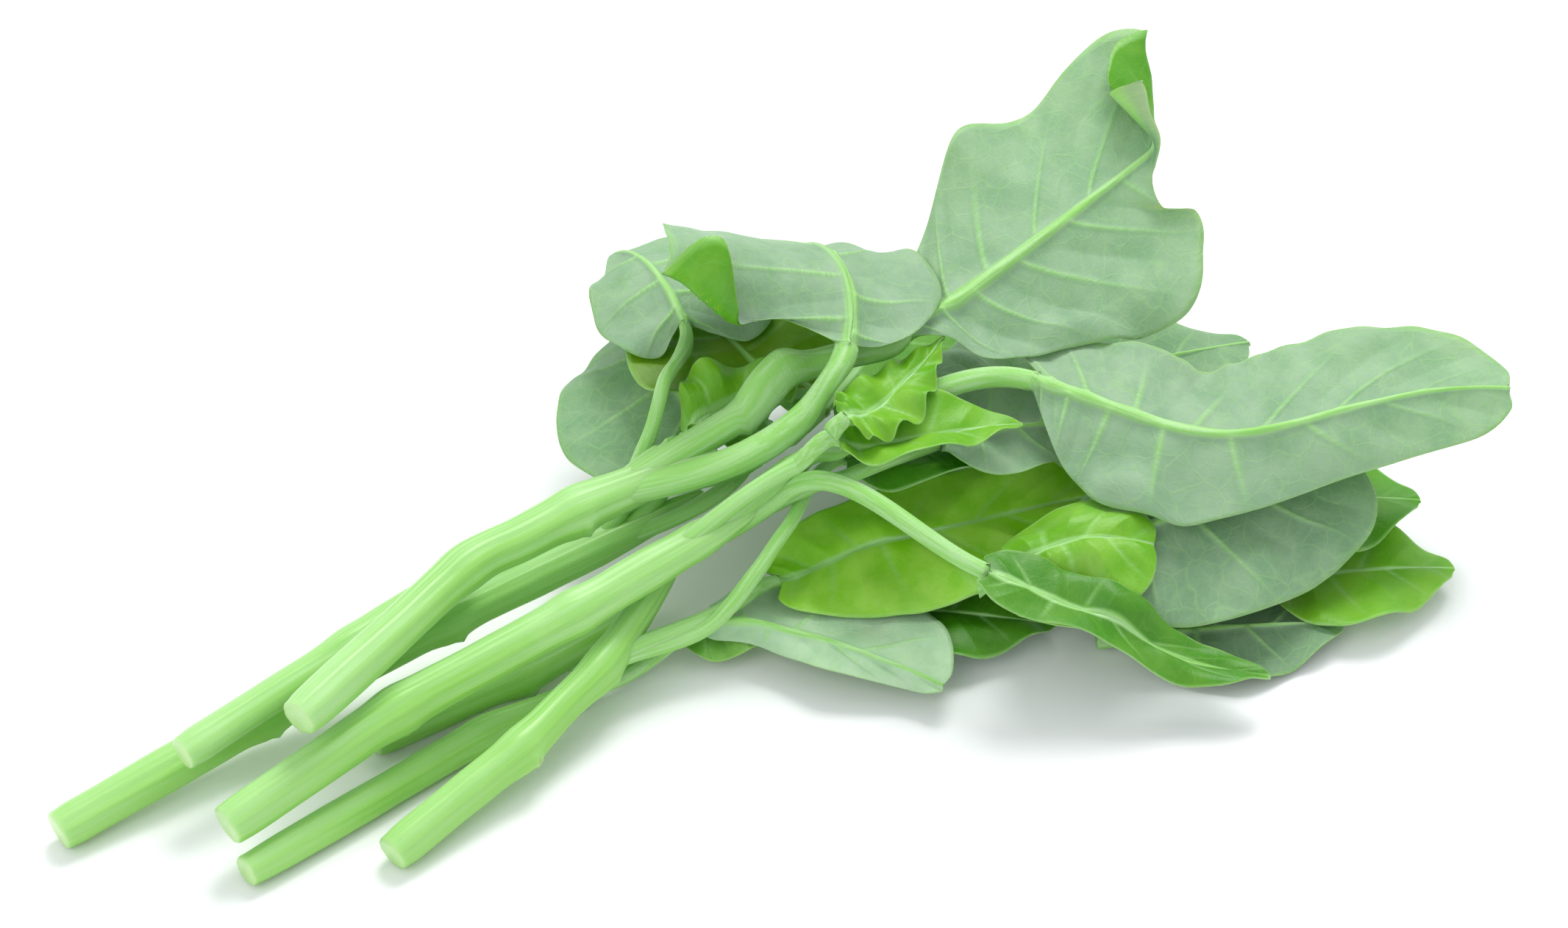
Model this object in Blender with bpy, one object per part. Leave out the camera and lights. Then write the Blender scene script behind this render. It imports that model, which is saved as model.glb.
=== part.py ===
"""Spinach bunch lying on its side: a sheaf of cut stems that opens into a heap of leaves.

The layout is drawn from the heart of the bunch, the point on the floor under the place where the stems
divide into leaf stalks. +X runs from the cut ends to the leaf tips, +Y to the back and +Z up. Lengths
in the tables are millimetres and angles are degrees. A heading is measured from +X towards +Y.
"""

import math
from dataclasses import dataclass

import bpy
import numpy as np

MM = 0.001
BUNCH_MIDDLE = (-6.84, 2.43)  # middle of the finished bunch, seen from the heart
UNDERSIDE = 0.058  # height of its lowest point in the tables

STEM_NODE_SWELL = 1.12  # a leaf node is this much thicker than the stem beside it
STEM_NODE_REACH = 5.0  # how far the swelling reaches along the stem
STEM_POINT_STEP = 9.0
STEM_SIDES_LEVEL = 2  # a bevel resolution of 2 gives eight sides

BLADE_THICKNESS = 0.9
MARGIN_THICKNESS = 0.5
MIDRIB_THICKNESS = 1.6
BLADE_ROWS = 10  # sections from the base of a blade to its tip
BLADE_POINTS = 7  # points across a section, from margin to margin
STALK_ROWS = 4  # sections of a stalk between two of the places that it passes
CORNER_ROWS = 20  # sections and points of a blade with a turned-over end
CORNER_POINTS = 11
CORNER_RADIUS = 1.5  # a turned-over leaf end bends round this
CORNER_FADE = 3.0  # to the left of the midrib, the turning dies away over this
SECTION_STEPS = 61  # steps in which a section of half a blade is worked out
MIDRIB_STEPS = 200  # steps in which a midrib is worked out
SECTION_CROWDING = 1.6  # sections stand closer together towards the base of a blade
SECTION_SWEEP = 1.2  # and bend on their way from the midrib to the margin
TIP_HALF_WIDTH = 0.03  # of the widest place, so that a tip is never a single point
WAVE_SHIFT = 1.7  # radians between the waves of the two margins
STALK_ROOT_SWELL = 0.25  # a stalk is this much thicker at its root

PILE_CELL = 1.5
PILE_HALF_SIZE = 220.0
LAYING_PASSES = 3
PILE_GAP = 1.2  # free height between one leaf and what it lies on
PILE_SPREAD = 2  # cells over which a lifted place pulls its surroundings up

STEM_COLOUR = (0.42, 0.68, 0.22, 1.0)
UPPER_COLOUR = (0.13, 0.36, 0.03, 1.0)
UNDER_COLOUR = (0.33, 0.50, 0.30, 1.0)

# Half outlines along the blade (1 is its length) and across it (1 is its half width).
OUTLINES = {
    "arrow": [(0, 0.06), (-0.10, 0.22), (-0.20, 0.46), (-0.14, 0.76), (0.06, 0.95), (0.30, 1.0),
              (0.56, 0.84), (0.80, 0.50), (0.94, 0.20), (1, 0)],
    "oval": [(0, 0.08), (-0.03, 0.34), (0.03, 0.66), (0.20, 0.94), (0.42, 1.0), (0.66, 0.82),
             (0.87, 0.44), (0.96, 0.20), (1, 0)],
    "blunt": [(0, 0.08), (-0.06, 0.38), (0.02, 0.74), (0.22, 0.97), (0.50, 1.0), (0.76, 0.90),
              (0.93, 0.62), (1, 0.26), (1, 0)],
    "spear": [(0, 0.10), (0.02, 0.36), (0.12, 0.76), (0.28, 1.0), (0.50, 0.90), (0.74, 0.54),
              (0.90, 0.24), (1, 0)],
    "lance": [(0, 0.20), (-0.02, 0.55), (0.05, 0.92), (0.16, 1.0), (0.34, 0.84), (0.60, 0.80),
              (0.82, 0.62), (0.95, 0.30), (1, 0)],
    "wedge": [(0, 0.08), (0.05, 0.34), (0.12, 0.66), (0.20, 0.96), (0.28, 0.94), (0.40, 0.70),
              (0.56, 0.58), (0.74, 0.54), (0.92, 0.44), (1, 0.2), (1, 0)],
    "lobe": [(0, 0.06), (0.04, 0.26), (0.07, 0.50), (-0.02, 0.74), (-0.14, 0.95), (-0.04, 1.07),
             (0.22, 1.02), (0.55, 0.95), (0.80, 0.72), (0.96, 0.38), (1, 0)],
    "crest": [(0, 0.06), (0.03, 0.25), (0.22, 0.57), (0.46, 1.0), (0.63, 0.83), (0.79, 0.90),
              (0.92, 0.90), (1.02, 0.72), (1.07, 0.42), (1.04, 0.12), (1, 0)],
    "notched": [(0, 0.06), (0.05, 0.24), (0.25, 0.70), (0.58, 1.0), (0.76, 0.72), (0.80, 0.50),
                (0.73, 0.34), (0.76, 0.12), (0.88, 0.04), (1, 0.03), (1, 0)],
}


@dataclass
class Stem:
    """A cut stem: straight between its leaf nodes, with a small turn at each."""

    name: str
    cut_end: tuple  # x, y of the near end
    heights: tuple  # height of the axis at the near and far ends
    thickness: tuple  # diameter at the near and far ends
    internodes: tuple  # length and heading of each straight stretch


@dataclass
class Leaf:
    """A leaf stalk and its blade. Headings, pitches and rolls run evenly from the base to the tip."""

    name: str
    root: tuple  # start of the stalk
    root_direction: tuple  # heading and pitch of the stalk as it starts
    base: tuple  # start of the blade
    length: float
    half_widths: tuple  # left and right of the midrib
    heading: tuple
    pitch: tuple
    roll: tuple  # 0 shows the upper face to the sky, 180 the under face
    fold: tuple  # how far the left and right halves rise from the midrib
    curl: tuple  # how much more they rise by the margin
    outline: object = "oval"  # a name, or one for the left half and one for the right
    ruffle: float = 1.5
    waves: float = 3.0
    stalk: float = 2.8  # diameter of the stalk
    through: tuple = ()  # places that the stalk passes on its way to the blade
    corner: tuple = (2, 0, 0)  # a turned-over end: where on the midrib, its slant, how far it turns


STEMS = [
    Stem("stem_long", (-155, 4), (4.4, 18), (8.4, 8.0), ((45, 9), (42, 6), (58, 4))),
    Stem("stem_low_front", (-127, -22), (3.6, 3.8), (6.8, 6.4), ((54, 13), (28, 5))),
    Stem("stem_shaded", (-92, -1), (3.8, 7), (7.0, 7.4), ((32, 3), (30, 9))),
    Stem("stem_curved", (-101, -31), (4.2, 17), (7.8, 7.4), ((32, 17), (24, 24), (28, 34))),
    Stem("stem_upper_back", (-130, 0), (17, 24), (7.0, 7.2), ((38, 13), (32, 14))),
    Stem("stem_middle", (-128, -17), (12, 29), (8.8, 8.0), ((38, 12), (40, 5), (30, 7), (12, 8))),
    Stem("stem_upper", (-110, -11), (27, 35), (8.2, 9.0),
         ((47, 25), (26, 7), (24, 1), (6, -4))),
]

LOW_LEAVES = [
    Leaf("leaf_right_dark", (48, -43, 3), (-20, 0), (58, -48, 4), 40, (14, 16),
         (-20, -22, -26), (2, 0, -3), (180, 180, 178), (4, 4), (8, 8)),
    Leaf("leaf_right_lowest", (62, -36, 4), (-20, 0), (88, -46, 5), 39, (16, 17),
         (-20, -22, -24), (4, 0, -6), (0, 0, 0), (6, 6), (-6, -10)),
    Leaf("leaf_right_bright", (34, -16, 5), (-15, 10), (82, -28, 13), 47, (20, 20),
         (-18, -22, -26), (4, -2, -8), (0, 0, 0), (6, 6), (-6, -6)),
    Leaf("leaf_shaded_right", (10, -6, 8), (-12, 10), (54, -16, 9), 58, (22, 24),
         (-14, -16, -18), (2, -2, -6), (0, 0, 0), (4, 4), (0, 0)),
    Leaf("leaf_shaded_front", (-8, -4, 4), (-30, 0), (8, -12, 4), 42, (16, 16),
         (-32, -35, -38), (3, 0, -3), (0, 0, 0), (4, 4), (4, 4)),
    Leaf("leaf_front_small", (-36, -2, 3), (-10, 10), (-27, -3, 5), 24, (8, 8),
         (-20, -30, -40), (16, 0, -8), (180, 180, 180), (14, 14), (14, 14), "spear", 0.8, 2),
    Leaf("leaf_front", (-43, -8, 3.9), (5, 0), (-21, -9, 9), 48, (5, 20),
         (-34, -50, -54), (8, -2, -8), (182, 186, 182), (20, 6), (30, 10), "blunt", 1.2, 3),
    Leaf("leaf_middle", (-16, -8, 8), (10, 10), (-5, -5, 11), 86, (14, 19),
         (-5, -10, -14), (6, 3, -4), (6, 10, 4), (6, 4), (6, -8), "oval", 1.8, 3),
]

UPPER_LEAVES = [
    Leaf("leaf_right_lower", (32, -28, 16), (-20, 20), (50, -38, 24), 62, (24, 16),
         (0, -4, -8), (4, 0, -6), (186, 190, 190), (14, 6), (16, 10), "blunt", 1.6, 3),
    Leaf("leaf_cupped", (27, -30, 13), (-20, 10), (34, -33, 15), 28, (13, 14),
         (-18, -22, -26), (8, -4, -14), (8, 8, 4), (10, 10), (12, 6), "blunt", 1.0, 2),
    Leaf("leaf_left", (-12, 27, 24), (60, 15), (-5, 29, 27), 42, (17, 27),
         (94, 93, 90), (20, -4, -36), (182, 178, 172), (6, 8), (8, 12), "arrow", 1.4, 3),
    Leaf("leaf_shaded_middle", (-22, -11, 12), (0, 35), (18, 9, 25), 46, (16, 16),
         (-10, -16, -20), (4, 0, -4), (0, 0, 0), (6, 6), (5, 5), "oval", 1.5, 3, 2.6,
         ((-4, -6, 26),)),
    Leaf("leaf_back", (2, 20, 16), (40, 20), (24, 30, 20), 62, (26, 26),
         (32, 30, 28), (6, -2, -12), (0, 0, 0), (6, 6), (5, 5), "arrow", 1.6, 3),
    Leaf("leaf_back_right", (8, 11, 20), (5, 15), (46, 8, 24), 70, (24, 24),
         (2, -2, -6), (4, -2, -8), (180, 180, 180), (5, 5), (5, 8), "oval", 1.6, 3),
    Leaf("leaf_pale_inner", (5, 0, 27), (0, 10), (34, -2, 30), 34, (12, 13),
         (-10, -14, -18), (4, 0, -4), (180, 180, 180), (6, 6), (6, 6)),
    Leaf("leaf_under_top_left", (4, 20, 26), (90, 20), (11, 25, 33), 42, (25, 27),
         (95, 98, 102), (14, 0, -16), (0, 0, 0), (6, 6), (5, 5), "oval", 1.4, 3),
    Leaf("leaf_narrow_left", (-18, 20, 21), (0, 15), (-13, 21, 23), 32, (9, 8),
         (4, 2, 0), (24, 18, 10), (-20, -10, 0), (20, 20), (20, 20), "spear", 1.6, 4),
    Leaf("leaf_upper_left", (-25, 22, 25), (40, 50), (-1, 45, 42), 36, (26, 17),
         (86, 90, 94), (30, -6, -44), (180, 178, 175), (8, 12), (10, 15), "arrow", 1.4, 3, 2.8,
         ((-14, 29, 37),)),
    Leaf("leaf_drooping", (-2, -1, 31), (-10, 38), (24, -38, 28), 61, (8, 8),
         (-40, -40, -30), (-18, -24, -4), (0, 0, 0), (12, 12), (-10, -10), "lance", 0.8, 3, 3.4),
    Leaf("leaf_right", (4, 1, 33), (-2, 25), (54, -6, 42), 101, (24, 22),
         (-54, -46, -16, -12, -24), (-2, -8, 6, 2, -8), (184, 190, 192), (20, 2), (30, 8),
         ("wedge", "blunt"), 1.6, 3, 4.2),
    Leaf("leaf_spear", (0, -3, 32), (-10, 20), (9, -4, 38), 39, (12, 9),
         (-12, -12, -14), (8, 0, -6), (0, 0, 0), (25, 25), (-15, -15), "spear", 1.2, 3),
    Leaf("leaf_crinkled", (6, -6, 33), (20, 20), (10, -5, 35), 36, (8, 8),
         (20, 24, 28), (24, 24, 18), (14, 8, 4), (10, 10), (8, 8), "spear", 1.6, 6),
    Leaf("leaf_top", (-3, 15, 36), (4, 10), (34, 13, 48), 86, (31, 29),
         (8, 11, 12), (15, 14, 15), (204, 208, 208), (6, 2), (10, 6), ("notched", "crest"), 1.6,
         3, 5.2, ((15, 18, 44),), (0.79, 40, 165)),
    Leaf("leaf_top_left", (-4, 6, 38), (0, 14), (19, 11, 53), 46, (21, 40),
         (50, 88, 100), (42, -8, -76), (204, 205, 204), (-8, -2), (0, 3), ("spear", "lobe"), 1.2,
         3, 5.0, (), (-0.11, 197, 150)),
]


def smooth_path(points, step):
    """A Catmull-Rom curve through the points, read about every step."""
    points = np.array(points, float)
    ends = np.vstack([2 * points[0] - points[1], points, 2 * points[-1] - points[-2]])
    path = []
    for i in range(1, len(points)):
        a, b, c, d = ends[i - 1], ends[i], ends[i + 1], ends[i + 2]
        count = max(1, round(np.linalg.norm(c - b) / step))
        for t in np.arange(count) / count:
            path.append(0.5 * (2 * b + (c - a) * t + (2 * a - 5 * b + 4 * c - d) * t**2
                               + (3 * b - a - 3 * c + d) * t**3))
    path.append(points[-1])
    return np.array(path)


def direction(heading, pitch):
    """Unit vectors, for arrays of angles in degrees."""
    heading, pitch = np.radians(heading), np.radians(pitch)
    return np.stack([np.cos(pitch) * np.cos(heading), np.cos(pitch) * np.sin(heading),
                     np.sin(pitch)], axis=-1)


def stem_route(stem):
    """The stem's axis through its nodes and the middles of its internodes, and the nodes' places."""
    total = sum(length for length, heading in stem.internodes)
    x, y = stem.cut_end
    done = 0.0
    route = [(x, y, stem.heights[0])]
    nodes = []
    for length, heading in stem.internodes:
        for part in (0.5, 0.5):
            x += part * length * math.cos(math.radians(heading))
            y += part * length * math.sin(math.radians(heading))
            done += part * length
            rise = (stem.heights[1] - stem.heights[0]) * done / total
            route.append((x, y, stem.heights[0] + rise))
        nodes.append((x, y, stem.heights[0] + rise))
    return route, np.array(nodes[:-1])


def interpolate_keys(values, places):
    """A smooth course through equally spaced values, read at places from 0 to 1."""
    keys = np.array(values, float)
    slopes = np.gradient(keys)
    spot = places * (len(keys) - 1)
    low = np.minimum(spot.astype(int), len(keys) - 2)
    t = spot - low
    return ((2 * t**3 - 3 * t**2 + 1) * keys[low] + (t**3 - 2 * t**2 + t) * slopes[low]
            + (3 * t**2 - 2 * t**3) * keys[low + 1] + (t**3 - t**2) * slopes[low + 1])


def midrib_frames(leaf, places):
    """Points, and unit vectors along, to the left and up out of the upper face, at places 0 to 1."""
    fine = np.linspace(0, 1, MIDRIB_STEPS + 1)
    along = direction(interpolate_keys(leaf.heading, fine), interpolate_keys(leaf.pitch, fine))
    steps = 0.5 * (along[1:] + along[:-1]) * leaf.length / MIDRIB_STEPS
    points = np.array(leaf.base, float) + np.vstack([np.zeros(3), np.cumsum(steps, axis=0)])
    heading = np.radians(interpolate_keys(leaf.heading, fine))
    level = np.stack([-np.sin(heading), np.cos(heading), 0 * heading], axis=-1)
    above = np.cross(along, level)
    roll = np.radians(interpolate_keys(leaf.roll, fine))[:, None]
    left = level * np.cos(roll) + above * np.sin(roll)
    up = above * np.cos(roll) - level * np.sin(roll)
    inside = np.clip(places, 0, 1)
    read = [np.stack([np.interp(inside, fine, v[:, k]) for k in range(3)], axis=-1)
            for v in (points, along, left, up)]
    end = np.where((places > 1)[..., None], along[-1], along[0])
    read[0] = read[0] + (places - inside)[..., None] * leaf.length * end
    return read


def outline_points(name, places):
    """The half outline read at the places, 0 at the base and 1 at the tip."""
    path = smooth_path([(x, y, 0) for x, y in OUTLINES[name]], 0.02)
    run = np.concatenate([[0], np.cumsum(np.linalg.norm(np.diff(path, axis=0), axis=1))])
    return np.interp(places * run[-1], run, path[:, 0]), np.interp(places * run[-1], run, path[:, 1])


def half_section(leaf, half, edge_y, u, amounts):
    """How far each point of one half lies sideways from the midrib, how far it rises, and its slope."""
    steps = np.linspace(0, 1, SECTION_STEPS)
    width = leaf.half_widths[half]
    slope = np.radians(leaf.fold[half] + leaf.curl[half] * edge_y[:, None] * steps[None, :])
    run = edge_y[:, None] * width / (SECTION_STEPS - 1)
    between = (slope[:, 1:] + slope[:, :-1]) / 2
    start = np.zeros((len(u), 1))
    sideways = np.hstack([start, np.cumsum(np.cos(between) * run, axis=1)])
    rise = np.hstack([start, np.cumsum(np.sin(between) * run, axis=1)])
    place = np.clip(amounts * (SECTION_STEPS - 1), 0, SECTION_STEPS - 1.001)
    low = place.astype(int)
    share = place - low
    return [v[:, low] * (1 - share) + v[:, low + 1] * share for v in (sideways, rise, slope)]


def turn_corner(leaf, points, normals):
    """Roll the end of the flat blade past its corner line over towards the under face."""
    where, slant, most = leaf.corner
    across = np.radians(slant)
    ahead = np.array([np.cos(across), np.sin(across), 0])
    past = (points[..., 0] - where * leaf.length) * ahead[0] + points[..., 1] * ahead[1]
    past = past.clip(0)
    fading = np.clip(1 - points[..., 1] / CORNER_FADE, 0, 1)
    turn = np.minimum(past / CORNER_RADIUS, np.radians(most) * fading)
    rest = past - turn * CORNER_RADIUS
    forward = CORNER_RADIUS * np.sin(turn) + rest * np.cos(turn) - past
    down = CORNER_RADIUS * (1 - np.cos(turn)) + rest * np.sin(turn)
    moved = points + forward[..., None] * ahead - down[..., None] * np.array([0, 0, 1.0])
    level = normals @ ahead
    bent = level * np.cos(turn) + normals[..., 2] * np.sin(turn)
    tilted = normals + (bent - level)[..., None] * ahead
    tilted[..., 2] = normals[..., 2] * np.cos(turn) - level * np.sin(turn)
    return moved, tilted


def blade_surface(leaf, u, v):
    """Middle surface of the blade as a grid, and its normals."""
    names = leaf.outline if isinstance(leaf.outline, tuple) else (leaf.outline,) * 2
    rib_x = u**SECTION_CROWDING
    surfaces, normals = [], []
    for half, sign, columns in ((1, -1.0, v < 0), (0, 1.0, v >= 0)):
        amount = np.abs(v[columns])
        edge_x, edge_y = outline_points(names[half], u)
        edge_y = np.maximum(edge_y, TIP_HALF_WIDTH)
        place = rib_x[:, None] + (edge_x - rib_x)[:, None] * amount[None, :] ** SECTION_SWEEP
        sideways, rise, slope = half_section(leaf, half, edge_y, u, amount)
        local = np.stack([place * leaf.length, sign * sideways, rise], axis=-1)
        facing = np.stack([0 * slope, -sign * np.sin(slope), np.cos(slope)], axis=-1)
        wave = np.sin(2 * np.pi * leaf.waves * u + WAVE_SHIFT * sign)
        ends = np.sin(np.pi * np.clip(u, 0.02, 1)) ** 0.5
        ruffle = leaf.ruffle * (wave * ends)[:, None] * amount[None, :] ** 2
        local, facing = turn_corner(leaf, local + facing * ruffle[..., None], facing)
        points, along, left, up = midrib_frames(leaf, local[..., 0] / leaf.length)
        surfaces.append(points + left * local[..., 1:2] + up * local[..., 2:])
        normals.append(along * facing[..., :1] + left * facing[..., 1:2] + up * facing[..., 2:])
    return [np.concatenate(parts, axis=1) for parts in (surfaces, normals)]


def stalk_path(leaf, count):
    """Centres and directions of the stalk at count places, from its root to just before the blade."""
    stops = np.array([leaf.root, *leaf.through, leaf.base], float)
    gaps = np.linalg.norm(np.diff(stops, axis=0), axis=1)
    pulls = np.zeros_like(stops)
    pulls[0] = direction(*leaf.root_direction) * gaps[0]
    pulls[-1] = direction(leaf.heading[0], leaf.pitch[0]) * gaps[-1]
    pulls[1:-1] = (stops[2:] - stops[:-2]) / 2
    place = np.arange(count) / count * len(gaps)
    piece = place.astype(int)
    t = (place - piece)[:, None]
    return hermite(stops[piece], stops[piece + 1], pulls[piece], pulls[piece + 1], t)


def hermite(start, end, leave, arrive, t):
    """Places and directions on a curve between two points with given pulls."""
    centres = ((2 * t**3 - 3 * t**2 + 1) * start + (t**3 - 2 * t**2 + t) * leave
               + (3 * t**2 - 2 * t**3) * end + (t**3 - t**2) * arrive)
    tangents = ((6 * t**2 - 6 * t) * start + (3 * t**2 - 4 * t + 1) * leave
                + (6 * t - 6 * t**2) * end + (3 * t**2 - 2 * t) * arrive)
    return centres, tangents / np.linalg.norm(tangents, axis=1)[:, None]


def stalk_rings(leaf, across):
    """Rings of the stalk, from its root to just before the blade."""
    base_left = midrib_frames(leaf, np.array([0.0]))[2][0]
    angle = (np.pi * (1 - (np.arange(across) + 0.5) / across))[:, None]
    count = STALK_ROWS * (1 + len(leaf.through))
    rings = []
    for row, (centre, tangent) in enumerate(zip(*stalk_path(leaf, count))):
        left = base_left - tangent * (base_left @ tangent)
        left /= np.linalg.norm(left)
        up = np.cross(tangent, left)
        radius = leaf.stalk / 2 * (1 + STALK_ROOT_SWELL * (1 - row / count))
        upper = centre + radius * (np.cos(angle) * left + np.sin(angle) * up)
        lower = centre + radius * (np.cos(angle) * left - np.sin(angle) * up)
        rings.append(np.vstack([upper, lower[::-1]]))
    return rings


def blade_rings(leaf, rows, across):
    """Rings of the blade: its upper face from right to left, then its under face back again."""
    v = np.linspace(-1, 1, across)
    surface, normal = blade_surface(leaf, np.linspace(0, 1, rows), v)
    amount = np.abs(v)[None, :]
    taper = np.linspace(1, 0, rows)[:, None]
    thickness = BLADE_THICKNESS + (MARGIN_THICKNESS - BLADE_THICKNESS) * amount
    thickness = thickness + (MIDRIB_THICKNESS - BLADE_THICKNESS) * (amount == 0) * taper
    offset = normal * thickness[..., None] / 2
    upper, lower = surface + offset, surface - offset
    return [np.vstack([upper[row], lower[row][::-1]]) for row in range(rows)]


def leaf_triangles(ring_count, size):
    """Triangles of the closed loft through the rings, wound to face out."""
    faces = []
    for row in range(ring_count - 1):
        for k in range(size):
            a, b = row * size + k, row * size + (k + 1) % size
            faces += [(a, a + size, b + size), (a, b + size, b)]
    last = (ring_count - 1) * size
    for k in range(size // 2 - 1):
        a, b = k, k + 1
        c, d = size - 2 - k, size - 1 - k
        faces += [(a, b, c), (a, c, d)]
        faces += [(last + a, last + c, last + b), (last + a, last + d, last + c)]
    return np.array(faces)


def triangle_samples(points, triangles, step):
    """Points spread over the triangles, about a step apart."""
    corners = points[triangles]
    longest = np.linalg.norm(corners - np.roll(corners, 1, axis=1), axis=2).max()
    count = max(1, math.ceil(longest / step))
    weights = np.array([(i, j, count - i - j) for i in range(count + 1)
                        for j in range(count + 1 - i)]) / count
    return np.einsum("wk,tkx->wtx", weights, corners).reshape(-1, 3)


class Pile:
    """The height of what already lies at each place of a square grid."""

    def __init__(self):
        count = round(2 * PILE_HALF_SIZE / PILE_CELL)
        self.top = np.full((count, count), -PILE_GAP)

    def cells(self, points):
        place = (points[:, :2] + PILE_HALF_SIZE) / PILE_CELL
        return tuple(place.astype(int).T)

    def add(self, samples):
        np.maximum.at(self.top, self.cells(samples), samples[:, 2])

    def lift(self, samples):
        """How far each place must rise so that the samples clear what lies there."""
        low = np.full(self.top.shape, np.inf)
        np.minimum.at(low, self.cells(samples), samples[:, 2])
        need = np.where(np.isfinite(low), self.top + PILE_GAP - low, 0).clip(0)
        for axis in (0, 1):
            need = np.max([np.roll(need, k, axis) for k in range(-PILE_SPREAD, PILE_SPREAD + 1)], 0)
        for axis in (0, 1):
            for width in (PILE_SPREAD // 2,) * 2:
                need = np.mean([np.roll(need, k, axis) for k in range(-width, width + 1)], 0)
        return need

    def lay(self, points, triangles):
        """Raise the points, in a few passes, until they clear the pile, and add them to it."""
        points = points.copy()
        for _ in range(LAYING_PASSES):
            need = self.lift(triangle_samples(points, triangles, PILE_CELL / 2))
            points[:, 2] += self.read(need, points)
        self.add(triangle_samples(points, triangles, PILE_CELL / 2))
        return points

    def read(self, field, points):
        """The field between its cells' middles, at the points' places."""
        place = (points[:, :2] + PILE_HALF_SIZE) / PILE_CELL - 0.5
        low = np.floor(place).astype(int)
        i, j = low.T
        s, t = (place - low).T
        return ((field[i, j] * (1 - s) + field[i + 1, j] * s) * (1 - t)
                + (field[i, j + 1] * (1 - s) + field[i + 1, j + 1] * s) * t)


def material(name, colour, roughness):
    made = bpy.data.materials.new(name)
    made.use_nodes = True
    shader = made.node_tree.nodes["Principled BSDF"]
    shader.inputs["Base Color"].default_value = colour
    shader.inputs["Roughness"].default_value = roughness
    shader.inputs["Metallic"].default_value = 0.0
    return made


def to_world(point):
    x, y, z = point
    return ((x - BUNCH_MIDDLE[0]) * MM, (y - BUNCH_MIDDLE[1]) * MM, (z - UNDERSIDE) * MM)


def build_stem(stem, collection):
    """A round tube along the stem's route, thicker at its nodes."""
    route, nodes = stem_route(stem)
    path = smooth_path(route, STEM_POINT_STEP)
    curve = bpy.data.curves.new(stem.name, "CURVE")
    curve.dimensions = "3D"
    curve.bevel_depth = stem.thickness[0] / 2 * MM
    curve.bevel_resolution = STEM_SIDES_LEVEL
    curve.use_fill_caps = True
    spline = curve.splines.new("POLY")
    spline.points.add(len(path) - 1)
    for i, place in enumerate(path):
        part = i / (len(path) - 1)
        size = 1 + (stem.thickness[1] / stem.thickness[0] - 1) * part
        near = np.linalg.norm(nodes - place, axis=1).min()
        swell = 1 + (STEM_NODE_SWELL - 1) * math.exp(-((near / STEM_NODE_REACH) ** 2))
        spline.points[i].co = (*to_world(place), 1.0)
        spline.points[i].radius = size * swell
    obj = bpy.data.objects.new(stem.name, curve)
    obj.data.materials.append(material(stem.name, STEM_COLOUR, 0.45))
    collection.objects.link(obj)
    return path, stem.thickness[1] / 2 * STEM_NODE_SWELL


def build_leaf(leaf, pile, collection):
    """The stalk and blade as one closed loft, laid on the pile."""
    turned = leaf.corner[2] > 0
    rows = CORNER_ROWS if turned else BLADE_ROWS
    across = CORNER_POINTS if turned else BLADE_POINTS
    rings = stalk_rings(leaf, across) + blade_rings(leaf, rows, across)
    triangles = leaf_triangles(len(rings), 2 * across)
    points = pile.lay(np.vstack(rings), triangles)
    mesh = bpy.data.meshes.new(leaf.name)
    mesh.from_pydata([to_world(p) for p in points], [], triangles.tolist())
    mesh.shade_smooth()
    face_up = abs(leaf.roll[1]) < 90
    mesh.materials.append(material(leaf.name, UPPER_COLOUR if face_up else UNDER_COLOUR, 0.5))
    collection.objects.link(bpy.data.objects.new(leaf.name, mesh))


def add_stem_to_pile(path, radius, pile):
    """Tell the pile about a stem: its top line and a little to each side."""
    fine = smooth_path(path, 1.0)
    for shift in np.linspace(-radius, radius, 9):
        height = math.sqrt(max(radius**2 - shift**2, 0))
        pile.add(fine + np.array([0, shift, height]))


def main():
    for obj in list(bpy.data.objects):
        bpy.data.objects.remove(obj, do_unlink=True)
    collection = bpy.data.collections.new("spinach_bunch")
    bpy.context.scene.collection.children.link(collection)
    pile = Pile()
    for leaf in LOW_LEAVES:
        build_leaf(leaf, pile, collection)
    for stem in STEMS:
        path, radius = build_stem(stem, collection)
        add_stem_to_pile(path, radius, pile)
    for leaf in UPPER_LEAVES:
        build_leaf(leaf, pile, collection)


main()
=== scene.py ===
"""Spinach bunch: the finished looks of a sheaf of cut stems that opens into a heap of leaves.

The layout is drawn from the heart of the bunch, the point on the floor under the place where the stems
divide into leaf stalks. +X runs from the cut ends to the leaf tips, +Y to the back and +Z up. Lengths
in the tables are millimetres and angles are degrees. A heading is measured from +X towards +Y.
"""

import math
from dataclasses import dataclass

import bpy
import numpy as np
from mathutils import Matrix, Vector


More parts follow.
